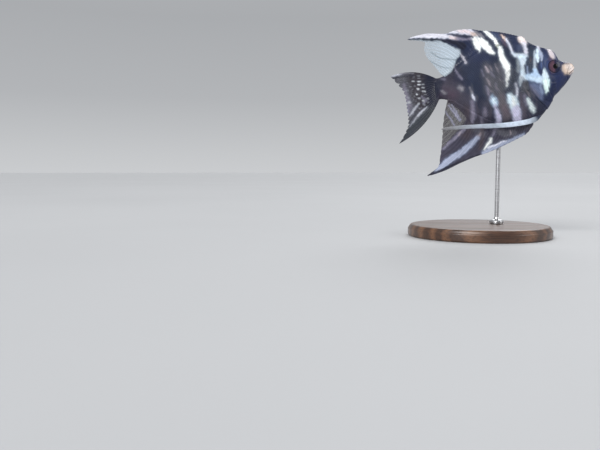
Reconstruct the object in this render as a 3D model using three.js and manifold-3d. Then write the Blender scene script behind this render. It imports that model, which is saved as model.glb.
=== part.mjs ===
// Freshwater angelfish (Pterophyllum scalare, marble form), a still life-size model on a plain display stand.
//
// Two frames are used.
//   Fish frame: origin at the middle of the tail stalk's end, +X along the body axis to the snout, +Z to the back,
//   +Y to the fish's left. The body is symmetric about Y = 0 but for a slight sweep of the tail.
//   Part frame: origin at the centre of the underside of the stand's base, +Z up. The fish hangs in it nose-up.
// All sizes are millimetres.

import * as THREE from "three";
import { mergeVertices } from "three/addons/utils/BufferGeometryUtils.js";
import Module from "manifold-3d";

const wasm = await Module();
wasm.setup();

// ---------------------------------------------------------------- driving dimensions
const NOSE_UP = 8.38; // degrees between the body axis and the floor
const TAIL_END = { x: -24.89, z: 88.0 }; // the fish frame's origin, in the part frame
const GAP = 0.3; // clearance between neighbouring solids

const SNOUT_X = 79.8; // standard length: snout tip to the end of the tail stalk
const STALK_END_X = -2.6; // the fan of the hypural bones reaches a little past the origin
const SWEEP_START_X = 14; // the tail sweeps to the fish's left behind this station
const SWEEP_AT_TIP = 2.6; // sideways sweep at the tail fin's tips
const FIN_TIP_X = -28;

// Paired stations of the back and belly lines: [x back, z back, x belly, z belly].
const OUTLINE = [
  [79.8, 0.4, 79.8, 0.0], // snout
  [79.6, 2.1, 79.3, -1.7], // lips
  [78.7, 3.55, 78.4, -3.3],
  [76.9, 4.3, 77.0, -5.0],
  [74.2, 4.8, 75.0, -7.3], // flat top of the snout | chin
  [71.9, 5.85, 72.6, -9.6],
  [70.6, 7.3, 70.5, -11.4], // foot of the steep forehead
  [69.8, 9.4, 68.2, -13.4], // throat
  [68.7, 11.7, 66.1, -14.9], // above the eye | notch where the gill covers meet
  [66.5, 13.4, 65.0, -16.8],
  [64.1, 14.2, 63.8, -19.0],
  [61.6, 15.5, 61.6, -21.6],
  [57.4, 17.6, 56.4, -25.9], // nape | pelvic root
  [51.0, 21.4, 47.5, -28.8], // first dorsal spine | vent
  [42.0, 22.9, 38.5, -28.6], // deepest station
  [32.5, 21.6, 29.0, -25.0],
  [22.5, 17.5, 20.0, -19.4],
  [13.5, 12.4, 12.0, -13.2],
  [6.0, 8.2, 6.0, -8.6],
  [0.0, 6.4, 0.0, -6.5], // narrowest part of the tail stalk
  [-2.6, 6.7, -2.6, -7.0],
];

// Half width of the body by station: [x, half width].
const HALF_WIDTH = [
  [79.8, 1.3],
  [79.0, 2.2],
  [76.6, 3.1],
  [72.4, 4.3],
  [67.0, 5.6],
  [60.0, 6.6],
  [52.0, 7.0],
  [42.0, 6.7],
  [30.0, 5.5],
  [18.0, 3.9],
  [8.0, 2.8],
  [0.0, 2.2],
  [-2.6, 1.6],
];
const RIDGE_POWER_BACK = 1.22; // how sharply the section narrows to the dorsal fin
const RIDGE_POWER_BELLY = 1.3; // the same to the anal fin
const ROUND_POWER = 1.0; // head and chest sections are plain ellipses

const EYE = { x: 66.4, z: 2.3, radius: 3.7, bulge: 1.0, depth: 3.4, yaw: 9 };

const GILL_EDGE = [ // rear edge of the gill cover, from above the nape to under the throat
  [55.8, 34], [54.9, 18], [53.4, 7.5], [51.2, 2], [50.3, -4], [51.9, -10.5], [56.4, -17], [62, -22], [66, -34],
];
const PREOPERCLE = [ // front edge of the gill cover plate
  [53.4, 8.4], [58.6, 9.6], [60.0, 4], [60.6, -4], [62.3, -12], [67.0, -18.5], [69, -24],
];
const GILL_PLATE = 1.2; // thickness of the gill cover
const MOUTH_SLIT = [[84, 2.7], [75.0, -3.0], [71.8, -7.8], [72.6, -15], [84, -15]];
const MOUTH_OPEN = 0.4; // width of the gape

const STALK_CUT_X = 7.5; // trunk and tail stalk part here

// Fin rays: station along the base [0..1] -> ray tip [x, z].
const DORSAL = {
  baseFront: 53.5, baseRear: 3.2, sink: 2.6, perTip: 2, rows: 5,
  halfBase: 1.5, halfTip: 0.3, bow: 0.13,
  tips: [
    [0.0, 53.2, 21.4], [0.04, 51.4, 23.1], [0.09, 48.6, 24.0], [0.15, 44.9, 25.4], [0.24, 39.2, 27.3], [0.34, 33.2, 28.8], [0.44, 27.0, 30.0],
    [0.51, 21.5, 31.55], [0.57, 14.0, 32.2], [0.615, 6.0, 31.25], [0.65, -4.5, 32.9], [0.69, -15.2, 31.4],
    [0.73, -6.1, 28.5], [0.79, -6.4, 24.0], [0.85, -5.3, 19.4], [0.91, -3.3, 15.9], [0.96, -0.9, 12.2], [1.0, 1.5, 8.2],
  ],
};
const ANAL = {
  baseFront: 52.5, baseRear: 3.4, sink: 2.6, perTip: 2, rows: 5,
  halfBase: 1.5, halfTip: 0.3, bow: 0.12,
  tips: [
    [0.0, 52.6, -29.4], [0.06, 48.2, -33.9], [0.14, 41.8, -36.4], [0.23, 33.6, -39.0], [0.33, 24.2, -41.6], [0.42, 14.6, -43.4],
    [0.49, 5.8, -45.8], [0.55, -4.0, -48.9], [0.6, -13.9, -50.3],
    [0.65, -7.0, -46.0], [0.71, -5.0, -40.4], [0.78, -3.3, -34.3], [0.85, -1.9, -27.2], [0.91, -0.4, -19.6], [0.96, 1.6, -12.6], [1.0, 3.2, -8.4],
  ],
};
const CAUDAL = {
  rootX: -1.2, rootTop: 5.85, rootBottom: -6.2, perTip: 2, rows: 5,
  halfBase: 1.1, halfTip: 0.3,
  tips: [ // [station, x, z, bow of the ray]
    [0.0, -27.75, 11.7, 0.115], [0.05, -26.5, 9.8, 0.085], [0.13, -23.9, 5.8, 0.035], [0.22, -21.6, 2.0, 0.02], [0.35, -20.8, -3.2, 0.0],
    [0.5, -20.9, -8.6, -0.01], [0.65, -20.8, -14.2, -0.03], [0.78, -21.4, -19.0, -0.05], [0.88, -23.4, -22.8, -0.07],
    [0.94, -25.6, -26.0, -0.08], [1.0, -27.9, -28.8, -0.09],
  ],
};
const PECTORAL = { // on the flank just behind the gill cover, spread away from the body
  rootX: 49.6, rootTop: -4.6, rootBottom: -8.8, spread: 24, halfBase: 0.42, halfTip: 0.26, perTip: 2, rows: 3,
  tips: [[0, 40.6, 4.6], [0.2, 36.8, 3.2], [0.45, 33.4, -0.4], [0.7, 32.9, -5.2], [0.88, 34.8, -9.4], [1, 38.0, -11.6]],
};
const PELVIC = { // a narrow fin drawn out into a long filament: [x, |y|, z, half height, half thickness]
  right: [
    [56.0, 2.2, -23.8, 1.5, 0.5], [53.2, 2.9, -25.7, 1.6, 0.5], [48.4, 3.9, -26.7, 1.6, 0.45], [43.3, 4.7, -27.2, 1.55, 0.42], [37.0, 5.3, -27.4, 1.5, 0.4],
    [30.9, 5.8, -27.2, 1.45, 0.38], [24.9, 6.1, -26.8, 1.4, 0.36], [18.9, 6.4, -26.2, 1.3, 0.35], [10.0, 6.8, -25.3, 1.05, 0.34],
    [1.2, 7.0, -24.6, 0.7, 0.33], [-4.0, 7.1, -24.3, 0.4, 0.32],
  ],
  left: [
    [56.0, 2.2, -23.8, 1.5, 0.5], [53.2, 3.1, -25.7, 1.6, 0.5], [48.4, 5.0, -26.9, 1.6, 0.45], [43.3, 6.8, -27.9, 1.55, 0.42], [37.0, 8.4, -28.9, 1.5, 0.4],
    [30.9, 9.5, -29.8, 1.45, 0.38], [24.9, 10.3, -30.6, 1.35, 0.36], [18.9, 10.8, -31.2, 1.2, 0.35], [12.0, 11.2, -31.7, 0.95, 0.34],
    [6.0, 11.4, -32.0, 0.65, 0.33], [1.5, 11.5, -32.1, 0.4, 0.32],
  ],
};

const STAND = { radius: 42, height: 7, bevel: 1.2, rodRadius: 1.3, rodX: 12, rodY: 3.4, rodTop: 84, footRadius: 4.2, footHeight: 2.2 };

// ---------------------------------------------------------------- curves and the body's surface
const clamp = (v, a, b) => Math.min(b, Math.max(a, v));
const lerp = (a, b, t) => a + (b - a) * t;
const smooth = (a, b, v) => {
  const t = clamp((v - a) / (b - a), 0, 1);
  return t * t * (3 - 2 * t);
};

// A smooth curve through rows of numbers: the first column is the parameter, the rest are interpolated.
function track(rows) {
  const last = rows.length - 1;
  const slope = rows.map((row, i) => {
    const a = rows[Math.max(0, i - 1)], b = rows[Math.min(last, i + 1)];
    return row.map((_, k) => (b[k] - a[k]) / (b[0] - a[0]));
  });
  return (t) => {
    t = clamp(t, rows[0][0], rows[last][0]);
    let i = 0;
    while (i < last - 1 && t > rows[i + 1][0]) i++;
    const h = rows[i + 1][0] - rows[i][0], s = (t - rows[i][0]) / h;
    const h00 = 2 * s ** 3 - 3 * s ** 2 + 1, h10 = s ** 3 - 2 * s ** 2 + s, h01 = -2 * s ** 3 + 3 * s ** 2, h11 = s ** 3 - s ** 2;
    return rows[i].slice(1).map((_, k) => h00 * rows[i][k + 1] + h10 * h * slope[i][k + 1] + h01 * rows[i + 1][k + 1] + h11 * h * slope[i + 1][k + 1]);
  };
}

// The outline's stations get a common parameter: the mean length run along back and belly.
const outlineRows = [];
OUTLINE.forEach((p, i) => {
  const q = OUTLINE[i - 1];
  const run = i ? outlineRows[i - 1][0] + (Math.hypot(p[0] - q[0], p[1] - q[1]) + Math.hypot(p[2] - q[2], p[3] - q[3])) / 2 : 0;
  outlineRows.push([run, ...p]);
});
const LENGTH_RUN = outlineRows[outlineRows.length - 1][0];
const outlineTrack = track(outlineRows);
const widthTrack = track(HALF_WIDTH.map(([x, w]) => [-x, w]));
const halfWidth = (x) => widthTrack(-x)[0];

const sweep = (x) => SWEEP_AT_TIP * Math.max(0, (SWEEP_START_X - x) / (SWEEP_START_X - FIN_TIP_X)) ** 2;

// One cross-section: its end points on the back and the belly, and its half width at s (0 back, 1 belly).
function section(run, grow = 0) {
  let [xt, zt, xb, zb] = outlineTrack(run);
  const xm = (xt + xb) / 2, d = Math.hypot(xt - xb, zt - zb) || 1;
  const ux = (xt - xb) / d, uz = (zt - zb) / d;
  xt += ux * grow; zt += uz * grow; xb -= ux * grow; zb -= uz * grow;
  const powerBack = lerp(RIDGE_POWER_BACK, ROUND_POWER, smooth(48, 66, xm));
  const powerBelly = lerp(RIDGE_POWER_BELLY, ROUND_POWER, smooth(34, 52, xm));
  const w = halfWidth(xm) + grow;
  return {
    xt, zt, xb, zb,
    y: (s) => w * Math.pow(Math.max(0, 2 * Math.sqrt(Math.max(0, s * (1 - s)))), lerp(powerBack, powerBelly, s)),
  };
}

// The section through a point of the side view, and how far down it the point lies.
function locate(x, z) {
  let a = 0, b = LENGTH_RUN;
  for (let i = 0; i < 40; i++) {
    const m = (a + b) / 2, [xt, zt, xb, zb] = outlineTrack(m);
    if ((xb - xt) * (z - zt) - (zb - zt) * (x - xt) > 0) b = m;
    else a = m;
  }
  const [xt, zt, xb, zb] = outlineTrack(a);
  const s = ((x - xt) * (xb - xt) + (z - zt) * (zb - zt)) / ((xb - xt) ** 2 + (zb - zt) ** 2);
  return { run: a, s };
}
const flank = (x, z) => {
  const { run, s } = locate(x, z);
  return section(run).y(clamp(s, 0, 1));
};

// Height of the back or belly line over the fish's x.
function ridge(x, side) {
  let a = 0, b = LENGTH_RUN;
  for (let i = 0; i < 40; i++) {
    const m = (a + b) / 2;
    if (outlineTrack(m)[side ? 2 : 0] > x) a = m;
    else b = m;
  }
  return outlineTrack(a)[side ? 3 : 1];
}

// ---------------------------------------------------------------- solids
function closed(positions, faces) {
  const g = new THREE.BufferGeometry();
  g.setAttribute("position", new THREE.BufferAttribute(new Float32Array(positions), 3));
  g.setIndex(faces);
  return g;
}

function manifold(geometry) {
  const g = geometry.clone();
  g.deleteAttribute("normal");
  g.deleteAttribute("uv");
  const m = mergeVertices(g, 1e-4);
  const solid = new wasm.Manifold(new wasm.Mesh({ numProp: 3, vertProperties: new Float32Array(m.attributes.position.array), triVerts: new Uint32Array(m.index.array) }));
  return solid;
}

function geometryOf(solid) {
  const parts = solid.decompose().sort((a, b) => b.volume() - a.volume());
  const m = parts[0].getMesh();
  return closed(m.vertProperties, Array.from(m.triVerts));
}

// The whole body as one closed loft, grown outwards by a clearance.
function bodySolid(grow = 0, longSpan = 3.4, around = 15) {
  const runs = [];
  outlineRows.slice(1).forEach((row, i) => {
    const span = row[0] - outlineRows[i][0], steps = span > longSpan || i === 0 ? 2 : 1;
    for (let k = 0; k < steps; k++) runs.push(lerp(outlineRows[i][0], row[0], (k + (i === 0 ? 0.5 : 0)) / steps));
  });
  runs.push(LENGTH_RUN);
  const positions = [], faces = [], ring = around * 2;
  for (const run of runs) {
    const c = section(run, grow);
    const push = run === LENGTH_RUN ? -grow : 0;
    for (let j = 0; j < ring; j++) {
      const a = (Math.PI * j) / around, s = (1 - Math.cos(a)) / 2;
      const x = lerp(c.xt, c.xb, s) + push;
      positions.push(x, (j > around ? 1 : -1) * c.y(s) + sweep(x), lerp(c.zt, c.zb, s));
    }
  }
  runs.slice(1).forEach((_, i) => {
    for (let j = 0; j < ring; j++) {
      const a = i * ring + j, b = i * ring + ((j + 1) % ring), c = a + ring, d = b + ring;
      faces.push(a, c, b, b, c, d);
    }
  });
  const nose = positions.length / 3;
  positions.push(SNOUT_X + grow, sweep(SNOUT_X), 0.2);
  const tail = nose + 1, xe = STALK_END_X - 0.9 - grow;
  positions.push(xe, sweep(xe), -0.15);
  const lastRing = (runs.length - 1) * ring;
  for (let j = 0; j < ring; j++) {
    faces.push(nose, j, (j + 1) % ring);
    faces.push(tail, lastRing + ((j + 1) % ring), lastRing + j);
  }
  return manifold(closed(positions, faces));
}

// A prism across the body from an outline in the side view.
function prism(points, yLow = -20, yHigh = 20) {
  const shape = new THREE.Shape(points.map(([x, z]) => new THREE.Vector2(x, z)));
  const g = new THREE.ExtrudeGeometry(shape, { depth: yHigh - yLow, bevelEnabled: false });
  g.rotateX(Math.PI / 2);
  g.translate(0, yHigh, 0);
  return manifold(g);
}

function curvePoints(points, count) {
  const c = new THREE.CatmullRomCurve3(points.map(([x, z]) => new THREE.Vector3(x, 0, z)), false, "centripetal");
  return c.getPoints(count).map((p) => [p.x, p.z]);
}

// A fin: rays from a base line to a tip line, each a bowed curve, thick at the root and thin at the margin.
function rayFin({ tips, perTip, rows, at, half, y }) {
  const stations = [];
  tips.slice(1).forEach((tip, i) => {
    for (let k = 0; k < perTip; k++) stations.push(lerp(tips[i][0], tip[0], k / perTip));
  });
  stations.push(1);
  const columns = stations.length - 1;
  const positions = [], faces = [], nv = rows + 1, nu = columns + 1;
  for (const side of [1, -1])
    for (let i = 0; i < nu; i++)
      for (let j = 0; j < nv; j++) {
        const t = stations[i], s = j / rows, [x, z] = at(t, s);
        positions.push(x, y(x, z, t, s) + side * half(t, s), z);
      }
  const id = (side, i, j) => side * nu * nv + i * nv + j;
  for (let i = 0; i < columns; i++)
    for (let j = 0; j < rows; j++) {
      const a = id(0, i, j), b = id(0, i + 1, j), c = id(0, i + 1, j + 1), d = id(0, i, j + 1);
      faces.push(a, b, c, a, c, d);
      const e = id(1, i, j), f = id(1, i + 1, j), g = id(1, i + 1, j + 1), h = id(1, i, j + 1);
      faces.push(e, g, f, e, h, g);
    }
  const rim = [];
  for (let i = 0; i < columns; i++) rim.push([i, 0]);
  for (let j = 0; j < rows; j++) rim.push([columns, j]);
  for (let i = columns; i > 0; i--) rim.push([i, rows]);
  for (let j = rows; j > 0; j--) rim.push([0, j]);
  rim.forEach(([i, j], k) => {
    const [m, n] = rim[(k + 1) % rim.length];
    const a = id(0, i, j), b = id(0, m, n), c = id(1, m, n), d = id(1, i, j);
    faces.push(a, c, b, a, d, c);
  });
  return closed(positions, faces);
}

function bowed(base, tip, bow, s) {
  // a quadratic curve whose middle is pushed forwards by a share of its length
  const dx = tip[0] - base[0], dz = tip[1] - base[1];
  const px = -dz * bow, pz = dx * bow;
  const cx = (base[0] + tip[0]) / 2 + px * 2, cz = (base[1] + tip[1]) / 2 + pz * 2;
  const a = (1 - s) ** 2, b = 2 * s * (1 - s), c = s * s;
  return [a * base[0] + b * cx + c * tip[0], a * base[1] + b * cz + c * tip[1]];
}

function facingOut(geometry) {
  // closed bodies that were wound inwards are turned round
  const p = geometry.attributes.position, ix = geometry.index.array;
  let v = 0;
  const A = new THREE.Vector3(), B = new THREE.Vector3(), C = new THREE.Vector3();
  for (let i = 0; i < ix.length; i += 3) {
    A.fromBufferAttribute(p, ix[i]); B.fromBufferAttribute(p, ix[i + 1]); C.fromBufferAttribute(p, ix[i + 2]);
    v += A.dot(B.cross(C));
  }
  if (v < 0) for (let i = 0; i < ix.length; i += 3) [ix[i + 1], ix[i + 2]] = [ix[i + 2], ix[i + 1]];
  return geometry;
}

const body = bodySolid();
const clearance = bodySolid(GAP);

// ---- head, jaw, gill covers, trunk and tail stalk, parted with thin cuts
const gillEdge = curvePoints(GILL_EDGE, 22);
const ahead = prism([...gillEdge, [100, -34], [100, 34]]);
const behindEdge = gillEdge.map(([x, z]) => [x - GAP * 1.15, z]);
const behind = prism([...behindEdge, [-60, -34], [-60, 34]].reverse());
const stalkSide = prism([[STALK_CUT_X - GAP / 2, -34], [-60, -34], [-60, 34], [STALK_CUT_X - GAP / 2, 34]]);
const trunkSide = prism([[STALK_CUT_X + GAP / 2, -34], [STALK_CUT_X + GAP / 2, 34], [100, 34], [100, -34]]);

const jawRegion = prism(MOUTH_SLIT.map(([x, z], i) => (i < 2 ? [x, z - MOUTH_OPEN / 2] : i === 2 ? [x + GAP / 2, z - GAP / 2] : [x + GAP / 2, z])));
const jawCut = prism(MOUTH_SLIT.map(([x, z], i) => [i === 0 || i === 4 ? x : x - GAP, i < 2 ? z + MOUTH_OPEN / 2 : z]));

const preopercle = curvePoints(PREOPERCLE, 15);
const plateOutline = [...preopercle, [62, -34], [40, -34], [40, 8.4]];
const plateRegion = (side) => prism(plateOutline, side > 0 ? 0.4 : -20, side > 0 ? 20 : -0.4);
const grown = preopercle.map(([x, z], i) => [x + (i < 2 ? 0 : GAP), z + (i < preopercle.length * 0.3 ? GAP : 0)]);
const plateCut = (side) => prism([[40, 8.4 + GAP], ...grown, [62 + GAP, -34], [40, -34]], side > 0 ? 0.4 - GAP : -20, side > 0 ? 20 : -0.4 + GAP);

const innerPlate = bodySolid(-GILL_PLATE), innerHead = bodySolid(-GILL_PLATE - GAP);
const wholeHead = body.intersect(ahead);
const jaw = wholeHead.intersect(jawRegion);
const covers = {}, cut = {};
for (const side of [-1, 1]) {
  covers[side] = wholeHead.intersect(plateRegion(side)).subtract(innerPlate);
  cut[side] = plateCut(side).subtract(innerHead);
}
let head = wholeHead.subtract(jawCut).subtract(cut[1]).subtract(cut[-1]);

// ---- eyes: a low dome on a flattened ball, turned a little forwards
function eyeGeometry(grow, side) {
  const pts = [], n = 5, r = EYE.radius + grow;
  for (let i = 0; i <= n; i++) {
    const a = (Math.PI / 2) * (i / n);
    pts.push(new THREE.Vector2(r * Math.sin(a), EYE.bulge + grow - (EYE.bulge + grow) * (1 - Math.cos(a)) ** 0.9));
  }
  for (let i = 1; i <= n; i++) {
    const a = (Math.PI / 2) * (i / n);
    pts.push(new THREE.Vector2(i === n ? 0 : r * Math.cos(a), -(EYE.depth + grow) * Math.sin(a)));
  }
  pts[0].x = 0;
  const g = new THREE.LatheGeometry(pts.reverse(), 22);
  if (side < 0) g.rotateX(Math.PI); // the lathe's axis is Y: the dome of the right eye points to -Y
  g.rotateZ(((-side * EYE.yaw) * Math.PI) / 180);
  g.translate(EYE.x, side * flank(EYE.x, EYE.z) + sweep(EYE.x), EYE.z);
  return g;
}
const eyes = {};
for (const side of [-1, 1]) {
  const g = eyeGeometry(0, side);
  g.deleteAttribute("normal");
  g.deleteAttribute("uv");
  eyes[side] = facingOut(mergeVertices(g, 1e-4));
  const socket = eyeGeometry(GAP, side);
  socket.deleteAttribute("normal");
  socket.deleteAttribute("uv");
  head = head.subtract(manifold(facingOut(mergeVertices(socket, 1e-4))));
}

const trunk = body.intersect(behind).intersect(trunkSide);
const stalk = body.intersect(stalkSide);

// ---- the unpaired fins
const ripple = (x, z, t, amount) => sweep(x) + amount * Math.sin(t * 9.5 + 0.6);

function backFin(spec, side) {
  const tips = track(spec.tips);
  const base = (t) => {
    const x = lerp(spec.baseFront, spec.baseRear, t), z = ridge(x, side), dir = side ? 1 : -1;
    return [x, z + dir * spec.sink * Math.min(1, Math.abs(z) / 8)];
  };
  const bow = side ? spec.bow : -spec.bow;
  const g = rayFin({
    tips: spec.tips,
    perTip: spec.perTip,
    rows: spec.rows,
    at: (t, s) => bowed(base(t), tips(t), bow * Math.min(1, t * 5), s),
    half: (t, s) => lerp(spec.halfBase * lerp(0.75, 1, smooth(0, 0.2, t)) * lerp(1, 0.7, smooth(0.6, 1, t)), spec.halfTip, smooth(0, 1, Math.pow(s, 0.75))),
    y: (x, z, t, s) => ripple(x, z, t, 0.45 * s * s),
  });
  return manifold(facingOut(g)).subtract(clearance);
}
const dorsal = backFin(DORSAL, false);
const anal = backFin(ANAL, true);

const caudalTips = track(CAUDAL.tips);
const caudal = manifold(
  facingOut(
    rayFin({
      tips: CAUDAL.tips,
      perTip: CAUDAL.perTip,
      rows: CAUDAL.rows,
      at: (t, s) => {
        const [x, z, bow] = caudalTips(t);
        return bowed([CAUDAL.rootX, lerp(CAUDAL.rootTop, CAUDAL.rootBottom, t)], [x, z], -bow, s);
      },
      half: (t, s) => lerp(CAUDAL.halfBase, CAUDAL.halfTip, Math.pow(s, 0.5)),
      y: (x, z, t, s) => ripple(x, z, t * 0.8, 0.5 * s * s),
    }),
  ),
).subtract(clearance);

// ---- the paired fins
function pectoral(side) {
  const tips = track(PECTORAL.tips), slope = Math.tan((PECTORAL.spread * Math.PI) / 180);
  const root = flank(PECTORAL.rootX, (PECTORAL.rootTop + PECTORAL.rootBottom) / 2);
  const g = rayFin({
    tips: PECTORAL.tips,
    perTip: PECTORAL.perTip,
    rows: PECTORAL.rows,
    at: (t, s) => bowed([PECTORAL.rootX, lerp(PECTORAL.rootTop, PECTORAL.rootBottom, t)], tips(t), 0, s),
    half: (t, s) => lerp(PECTORAL.halfBase, PECTORAL.halfTip, s),
    y: (x, z, t, s) => side * (root + 0.15 + slope * (PECTORAL.rootX - x) * (1 - 0.25 * s)),
  });
  return manifold(facingOut(g)).subtract(clearance);
}

function pelvic(rows, side) {
  // a flattened tube along the fin's first ray
  const steps = 20, around = 6, positions = [], faces = [];
  const run = [0];
  rows.slice(1).forEach((p, i) => run.push(run[i] + Math.hypot(p[0] - rows[i][0], p[1] - rows[i][1], p[2] - rows[i][2])));
  const line = track(rows.map((p, i) => [run[i], ...p]));
  const total = run[run.length - 1];
  for (let i = 0; i <= steps; i++) {
    const u = (total * i) / steps, [x, y, z, h, w] = line(u), [x2, , z2] = line(Math.min(total, u + 0.5)), [x1, , z1] = line(Math.max(0, u - 0.5));
    const d = Math.hypot(x2 - x1, z2 - z1), nx = -(z2 - z1) / d, nz = (x2 - x1) / d;
    for (let j = 0; j < around; j++) {
      const a = (2 * Math.PI * (j + 0.5)) / around;
      positions.push(x + nx * h * Math.cos(a), side * y + w * Math.sin(a), z + nz * h * Math.cos(a));
    }
  }
  for (let i = 0; i < steps; i++)
    for (let j = 0; j < around; j++) {
      const a = i * around + j, b = i * around + ((j + 1) % around), c = a + around, d = b + around;
      faces.push(a, b, c, b, d, c);
    }
  const n = positions.length / 3, first = line(0), last = line(total);
  positions.push(first[0], side * first[1], first[2], last[0], side * last[1], last[2]);
  for (let j = 0; j < around; j++) {
    faces.push(n, (j + 1) % around, j);
    faces.push(n + 1, steps * around + j, steps * around + ((j + 1) % around));
  }
  return manifold(facingOut(closed(positions, faces))).subtract(clearance);
}

// ---------------------------------------------------------------- the scene graph
const part = new THREE.Group();
const fish = new THREE.Group();
fish.rotation.y = (-NOSE_UP * Math.PI) / 180;
fish.position.set(TAIL_END.x, 0, TAIL_END.z);
part.add(fish);

function add(parent, name, geometry, color, roughness, metalness = 0) {
  const mesh = new THREE.Mesh(geometry, new THREE.MeshStandardMaterial({ color, roughness, metalness }));
  mesh.name = name;
  parent.add(mesh);
  return mesh;
}

add(fish, "head", geometryOf(head), 0x4a4a55, 0.35);
add(fish, "lower_jaw", geometryOf(jaw), 0xe3b98f, 0.4);
add(fish, "gill_cover_right", geometryOf(covers[-1]), 0xaebccb, 0.3);
add(fish, "gill_cover_left", geometryOf(covers[1]), 0xaebccb, 0.3);
add(fish, "trunk", geometryOf(trunk), 0x2b2b33, 0.35);
add(fish, "tail_stalk", geometryOf(stalk), 0x2a1d1c, 0.35);
add(fish, "dorsal_fin", geometryOf(dorsal), 0x22222a, 0.4);
add(fish, "anal_fin", geometryOf(anal), 0x26222a, 0.4);
add(fish, "caudal_fin", geometryOf(caudal), 0x3a3438, 0.4);
add(fish, "pectoral_fin_right", geometryOf(pectoral(-1)), 0xb9c4c8, 0.3);
add(fish, "pectoral_fin_left", geometryOf(pectoral(1)), 0xb9c4c8, 0.3);
add(fish, "pelvic_fin_right", geometryOf(pelvic(PELVIC.right, -1)), 0xd5d6e2, 0.35);
add(fish, "pelvic_fin_left", geometryOf(pelvic(PELVIC.left, 1)), 0xd5d6e2, 0.35);
add(fish, "eye_right", eyes[-1], 0x5a1f16, 0.08);
add(fish, "eye_left", eyes[1], 0x5a1f16, 0.08);

// ---- the display stand: a turned disc and one rod with a small foot
const disc = [
  [0, 0], [STAND.radius - 0.8, 0], [STAND.radius, 0.8], [STAND.radius, STAND.height - STAND.bevel],
  [STAND.radius - STAND.bevel * 0.3, STAND.height - STAND.bevel * 0.3], [STAND.radius - STAND.bevel, STAND.height], [0, STAND.height],
].map(([r, z]) => new THREE.Vector2(r, z));
const discGeometry = new THREE.LatheGeometry(disc, 60);
discGeometry.rotateX(Math.PI / 2);
discGeometry.deleteAttribute("normal");
discGeometry.deleteAttribute("uv");
add(part, "stand_base", facingOut(mergeVertices(discGeometry, 1e-4)), 0x4b3222, 0.5);

const z0 = STAND.height + GAP;
const rod = [
  [0, z0], [STAND.footRadius, z0], [STAND.footRadius, z0 + STAND.footHeight * 0.6], [STAND.footRadius * 0.8, z0 + STAND.footHeight],
  [STAND.rodRadius + 0.5, z0 + STAND.footHeight + 0.3], [STAND.rodRadius, z0 + STAND.footHeight + 1.0], [STAND.rodRadius, STAND.rodTop], [0, STAND.rodTop],
].map(([r, z]) => new THREE.Vector2(r, z));
const rodGeometry = new THREE.LatheGeometry(rod, 18);
rodGeometry.rotateX(Math.PI / 2);
rodGeometry.deleteAttribute("normal");
rodGeometry.deleteAttribute("uv");
const rodSolid = manifold(facingOut(mergeVertices(rodGeometry, 1e-4)));
// the fish's clearance body, brought into the part frame, cuts the rod's top to the flank
const turn = new THREE.Matrix4().makeRotationY((-NOSE_UP * Math.PI) / 180).setPosition(TAIL_END.x, 0, TAIL_END.z);
const placed = geometryOf(clearance).applyMatrix4(turn);
const rodPlaced = geometryOf(rodSolid).translate(STAND.rodX, STAND.rodY, 0);
const rodCut = manifold(rodPlaced).subtract(manifold(placed)).decompose().sort((a, b) => a.boundingBox().min[2] - b.boundingBox().min[2])[0];
add(part, "stand_rod", geometryOf(rodCut), 0xb8b8ba, 0.3, 1);

export default part;
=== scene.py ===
# The looks of a freshwater angelfish (Pterophyllum scalare, marble form), a still model on a plain display stand.
# One skin stands for the head, jaw, gill covers, trunk and tail stalk. Scales are closed plates of mesh over it.
# The fish frame (mm): origin at the middle of the tail stalk's end, +X to the snout, +Z to the back, +Y to its left.
import math

import bpy
import numpy as np
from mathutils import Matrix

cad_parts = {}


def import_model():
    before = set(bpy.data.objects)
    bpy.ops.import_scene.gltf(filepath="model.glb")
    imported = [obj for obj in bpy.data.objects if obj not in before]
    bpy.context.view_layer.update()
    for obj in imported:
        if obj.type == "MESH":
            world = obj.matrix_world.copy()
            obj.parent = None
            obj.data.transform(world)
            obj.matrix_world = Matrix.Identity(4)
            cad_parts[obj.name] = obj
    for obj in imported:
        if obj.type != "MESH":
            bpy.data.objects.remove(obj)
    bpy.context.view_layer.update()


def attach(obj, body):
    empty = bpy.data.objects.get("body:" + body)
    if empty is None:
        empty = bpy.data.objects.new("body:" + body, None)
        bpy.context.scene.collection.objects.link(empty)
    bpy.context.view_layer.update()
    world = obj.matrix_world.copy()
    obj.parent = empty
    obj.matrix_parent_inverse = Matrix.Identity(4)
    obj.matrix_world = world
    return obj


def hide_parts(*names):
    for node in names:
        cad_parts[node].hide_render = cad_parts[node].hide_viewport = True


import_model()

# ---------------------------------------------------------------- the body, as in the solids
NOSE_UP = math.radians(8.38)
TAIL_END = (-24.89, 88.0)
SNOUT_X, STALK_END_X, FIN_TIP_X = 79.8, -2.6, -28.0
SWEEP_START_X, SWEEP_AT_TIP = 14.0, 2.6
OUTLINE = [
    (79.8, 0.4, 79.8, 0.0), (79.6, 2.1, 79.3, -1.7), (78.7, 3.55, 78.4, -3.3), (76.9, 4.3, 77.0, -5.0), (74.2, 4.8, 75.0, -7.3),
    (71.9, 5.85, 72.6, -9.6), (70.6, 7.3, 70.5, -11.4), (69.8, 9.4, 68.2, -13.4), (68.7, 11.7, 66.1, -14.9), (66.5, 13.4, 65.0, -16.8), (64.1, 14.2, 63.8, -19.0),
    (61.6, 15.5, 61.6, -21.6), (57.4, 17.6, 56.4, -25.9), (51.0, 21.4, 47.5, -28.8), (42.0, 22.9, 38.5, -28.6), (32.5, 21.6, 29.0, -25.0),
    (22.5, 17.5, 20.0, -19.4), (13.5, 12.4, 12.0, -13.2), (6.0, 8.2, 6.0, -8.6), (0.0, 6.4, 0.0, -6.5), (-2.6, 6.7, -2.6, -7.0),
]
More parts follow.
